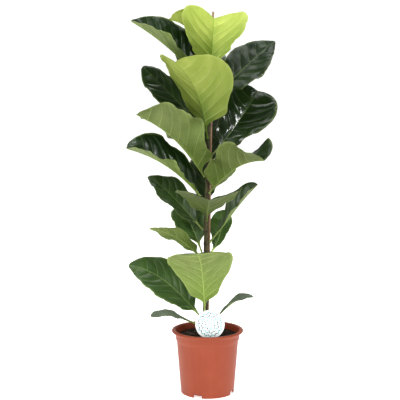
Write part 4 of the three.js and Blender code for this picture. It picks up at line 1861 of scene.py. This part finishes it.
# ------------------------------------------------------------------------------------ label
@dataclass
class Label:
    """The care label: a round plate on a pointed stake, printed with plain wreaths of small leaves."""

    thickness: float = 0.9 * MM
    stake_width: float = 11.0 * MM
    point: float = 14.0 * MM
    round_edge: float = 0.28 * MM
    ink: float = 0.06 * MM
    stagger: float = 0.035
    splay: float = 0.75
    wreaths: tuple[tuple[float, int, float], ...] = (
        (0.78, 33, 3.3 * MM),
        (0.56, 23, 3.2 * MM),
        (0.35, 13, 3.0 * MM),
        (0.13, 5, 2.4 * MM),
    )
    piece: bpy.types.Object | None = None
    print_piece: bpy.types.Object | None = None

    def _frame(self) -> tuple[Array, Array, Array, Array, float, float]:
        """The plate's own axes, read from the CAD plate.

        Returns:
            The disc's centre, its right, up and front directions, its radius and the stake's length.
        """
        corners = node_corners("care_label")
        low, high = corners.min(axis=0), corners.max(axis=0)
        wide = corners[(corners[:, 0] < low[0] + 0.05 * MM) | (corners[:, 0] > high[0] - 0.05 * MM)]
        centre = wide.mean(axis=0)
        radius = float(high[0] - low[0]) / 2
        foot = corners[corners[:, 2] < low[2] + 0.1 * MM].mean(axis=0)
        up = unit(centre - foot)
        up = unit(np.array([0, up[1], up[2]]))
        right = np.array([1.0, 0, 0])
        front = np.cross(right, up)
        return centre, right, up, front, radius, float(np.linalg.norm(centre - foot)) - radius

    def build(self) -> None:
        """Cuts the plate with its stake and lays the print on its front."""
        centre, right, up, front, radius, stake = self._frame()
        half = self.stake_width / 2
        neck = -math.sqrt(radius**2 - half**2)
        start = math.atan2(neck, half)
        sweep = 2 * math.pi - 2 * abs(math.pi / 2 + start)
        turns = start + sweep * np.linspace(0, 1, 120)
        outline = [(radius * math.cos(turn), radius * math.sin(turn)) for turn in turns]
        foot = -radius - stake
        steps = np.linspace(neck, foot + self.point, 16)
        outline += [(-half, y) for y in steps[1:]]
        outline += [(-half * 0.25, foot + 1.2 * MM), (0.0, foot), (half * 0.25, foot + 1.2 * MM)]
        outline += [(half, y) for y in steps[:0:-1]]
        flat = np.array(outline)
        inward = self._inward(flat)
        edge = self.round_edge
        layers = [(-self.thickness / 2, edge), (edge - self.thickness / 2, 0.0)]
        layers += [(self.thickness / 2 - edge, 0.0), (self.thickness / 2, edge)]
        points = []
        for depth, shrink in layers:
            for x, y in flat + inward * shrink:
                points.append(centre + right * x + up * y + front * depth)
        points = np.array(points)
        faces = tube_faces(len(layers), len(flat))
        self.piece = make_piece("label_plate", points, faces, crease=40)
        seat(self.piece, Slot.LABEL, "care_label")
        self._print(centre, right, up, front, radius)
        log.info("label: %d faces", len(self.piece.data.polygons) + len(self.print_piece.data.polygons))

    def _inward(self, flat: Array) -> Array:
        """Unit steps from an anticlockwise outline's points towards its inside."""
        along = unit(np.roll(flat, -1, axis=0) - np.roll(flat, 1, axis=0))
        return np.stack([-along[:, 1], along[:, 0]], axis=1)

    def _print(self, centre: Array, right: Array, up: Array, front: Array, radius: float) -> None:
        """Lays the wreaths of small printed leaves on the plate, thin and slightly proud.

        Args:
            centre: The disc's centre.
            right: The plate's direction to its right.
            up: Its direction away from the stake.
            front: Its direction out of the printed face.
            radius: The disc's radius.
        """
        rng = np.random.default_rng(11)
        points: list[Array] = []
        faces: list[tuple[int, ...]] = []
        tones: list[float] = []
        steps = 12
        for share, count, length in self.wreaths:
            for i in range(count):
                a = 2 * math.pi * (i + 0.5 * (count % 3)) / count
                place = share + (self.stagger if i % 2 else -self.stagger)
                middle = np.array([math.cos(a), math.sin(a)]) * radius * place
                heading = a + math.pi / 2 + (self.splay if i % 2 else -self.splay)
                forward = np.array([math.cos(heading), math.sin(heading)])
                sideways = np.array([-forward[1], forward[0]])
                base = len(points)
                for depth in (self.thickness / 2 - self.ink, self.thickness / 2 + self.ink):
                    for k in range(steps):
                        t = 2 * math.pi * k / steps
                        bulge = 0.46 * math.sin(t) * (0.7 + 0.3 * math.cos(t))
                        x, y = middle + length * (forward * math.cos(t) + sideways * bulge)
                        points.append(centre + right * x + up * y + front * depth)
                faces += [tuple(base + v for v in face) for face in tube_faces(2, steps)]
                tones += [float(rng.choice([0.15, 0.45, 0.95], p=[0.34, 0.3, 0.36]))] * (2 * steps)
        attributes = {"tone": np.array(tones)}
        self.print_piece = make_piece("label_print", np.array(points), faces, attributes, crease=40)
        seat(self.print_piece, Slot.LABEL)

    def dress(self) -> None:
        """Gives the plate its plastic and the print its ink."""
        self.piece.data.materials.append(LabelFinish(float(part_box("soil")[1].z)).material())
        self.print_piece.data.materials.append(PrintFinish().material())


# ------------------------------------------------------------------------------------ studio
@dataclass(frozen=True)
class Softbox:
    """One soft lamp of the studio, aimed at the plant."""

    name: str
    place: tuple[float, float, float]
    width: float
    height: float
    power: float

    def build(self, target: Vector) -> None:
        """Hangs the lamp and turns it to its target.

        Args:
            target: The point that it lights.
        """
        data = bpy.data.lights.new(self.name, "AREA")
        data.shape = "RECTANGLE"
        data.size = self.width
        data.size_y = self.height
        data.energy = self.power
        lamp = bpy.data.objects.new(self.name, data)
        lamp.location = self.place
        lamp.rotation_euler = (target - Vector(self.place)).to_track_quat("-Z", "Y").to_euler()
        bpy.context.scene.collection.objects.link(lamp)


@dataclass
class Studio:
    """A pale floor, a white sky, soft lamps and the camera."""

    camera_place: tuple[float, float, float] = (-0.0178, -3.0, 0.918)
    camera_pitch: float = 8.62
    lens: float = 116.55
    horizon: float = 1.0
    zenith: float = 0.3
    dusk: tuple[float, float] = (0.06, 0.5)
    floor_size: float = 60.0
    lamps: tuple[Softbox, ...] = (
        Softbox("key_left", (-1.4, -2.4, 2.3), 1.2, 1.2, 40.0),
        Softbox("fill_right", (2.2, -1.6, 1.2), 1.0, 1.8, 12.0),
        Softbox("glint_right", (0.8, -1.5, 2.1), 0.22, 0.22, 9.0),
        Softbox("top", (-0.2, -0.2, 2.5), 1.6, 1.0, 16.0),
        Softbox("back_top", (0.2, 1.8, 2.6), 1.8, 1.0, 14.0),
    )

    def build(self) -> None:
        """Sets up the floor, the light and the camera."""
        half = self.floor_size / 2
        corners = np.array([[-half, -half, 0], [half, -half, 0], [half, half, 0], [-half, half, 0]])
        floor = make_piece("floor", corners, [(0, 1, 2, 3)])
        floor.data.materials.append(FloorFinish().material())
        bpy.context.scene.world = self._sky()
        target = Vector((0, 0, 0.5))
        for lamp in self.lamps:
            lamp.build(target)
        data = bpy.data.cameras.new("camera")
        data.lens = self.lens
        data.sensor_width = 36.0
        camera = bpy.data.objects.new("camera", data)
        camera.location = self.camera_place
        camera.rotation_euler = (math.radians(90 - self.camera_pitch), 0, 0)
        bpy.context.scene.collection.objects.link(camera)
        bpy.context.scene.camera = camera
        bpy.context.scene.view_settings.view_transform = "Standard"
        bpy.context.scene.view_settings.look = "Medium High Contrast"

    def _sky(self) -> bpy.types.World:
        """A white band round the horizon that dims to a soft grey overhead.

        Returns:
            The world.
        """
        g = Graph("studio", world=True)
        around = g.node("ShaderNodeTexCoord", output="Generated")
        height = g.node("ShaderNodeSeparateXYZ", None, {0: around}, "Z")
        strength = height.ramp(*self.dusk, self.horizon, self.zenith)
        white = (1.0, 1.0, 1.0, 1.0)
        return g.finish(g.node("ShaderNodeBackground", None, {"Color": white, "Strength": strength}))


def main() -> None:
    """Builds and dresses each sub-assembly, in order."""
    logging.basicConfig(level=logging.INFO, format="%(message)s")
    Studio().build()
    pot = Pot()
    foliage = Foliage()
    pot.build()
    foliage.build()
    others = [Soil(pot), Stem(foliage.feet()), Bud(), Cane(), Label()]
    for assembly in others:
        assembly.build()
    for assembly in (pot, foliage, *others):
        assembly.dress()


if __name__ == "__main__":
    main()
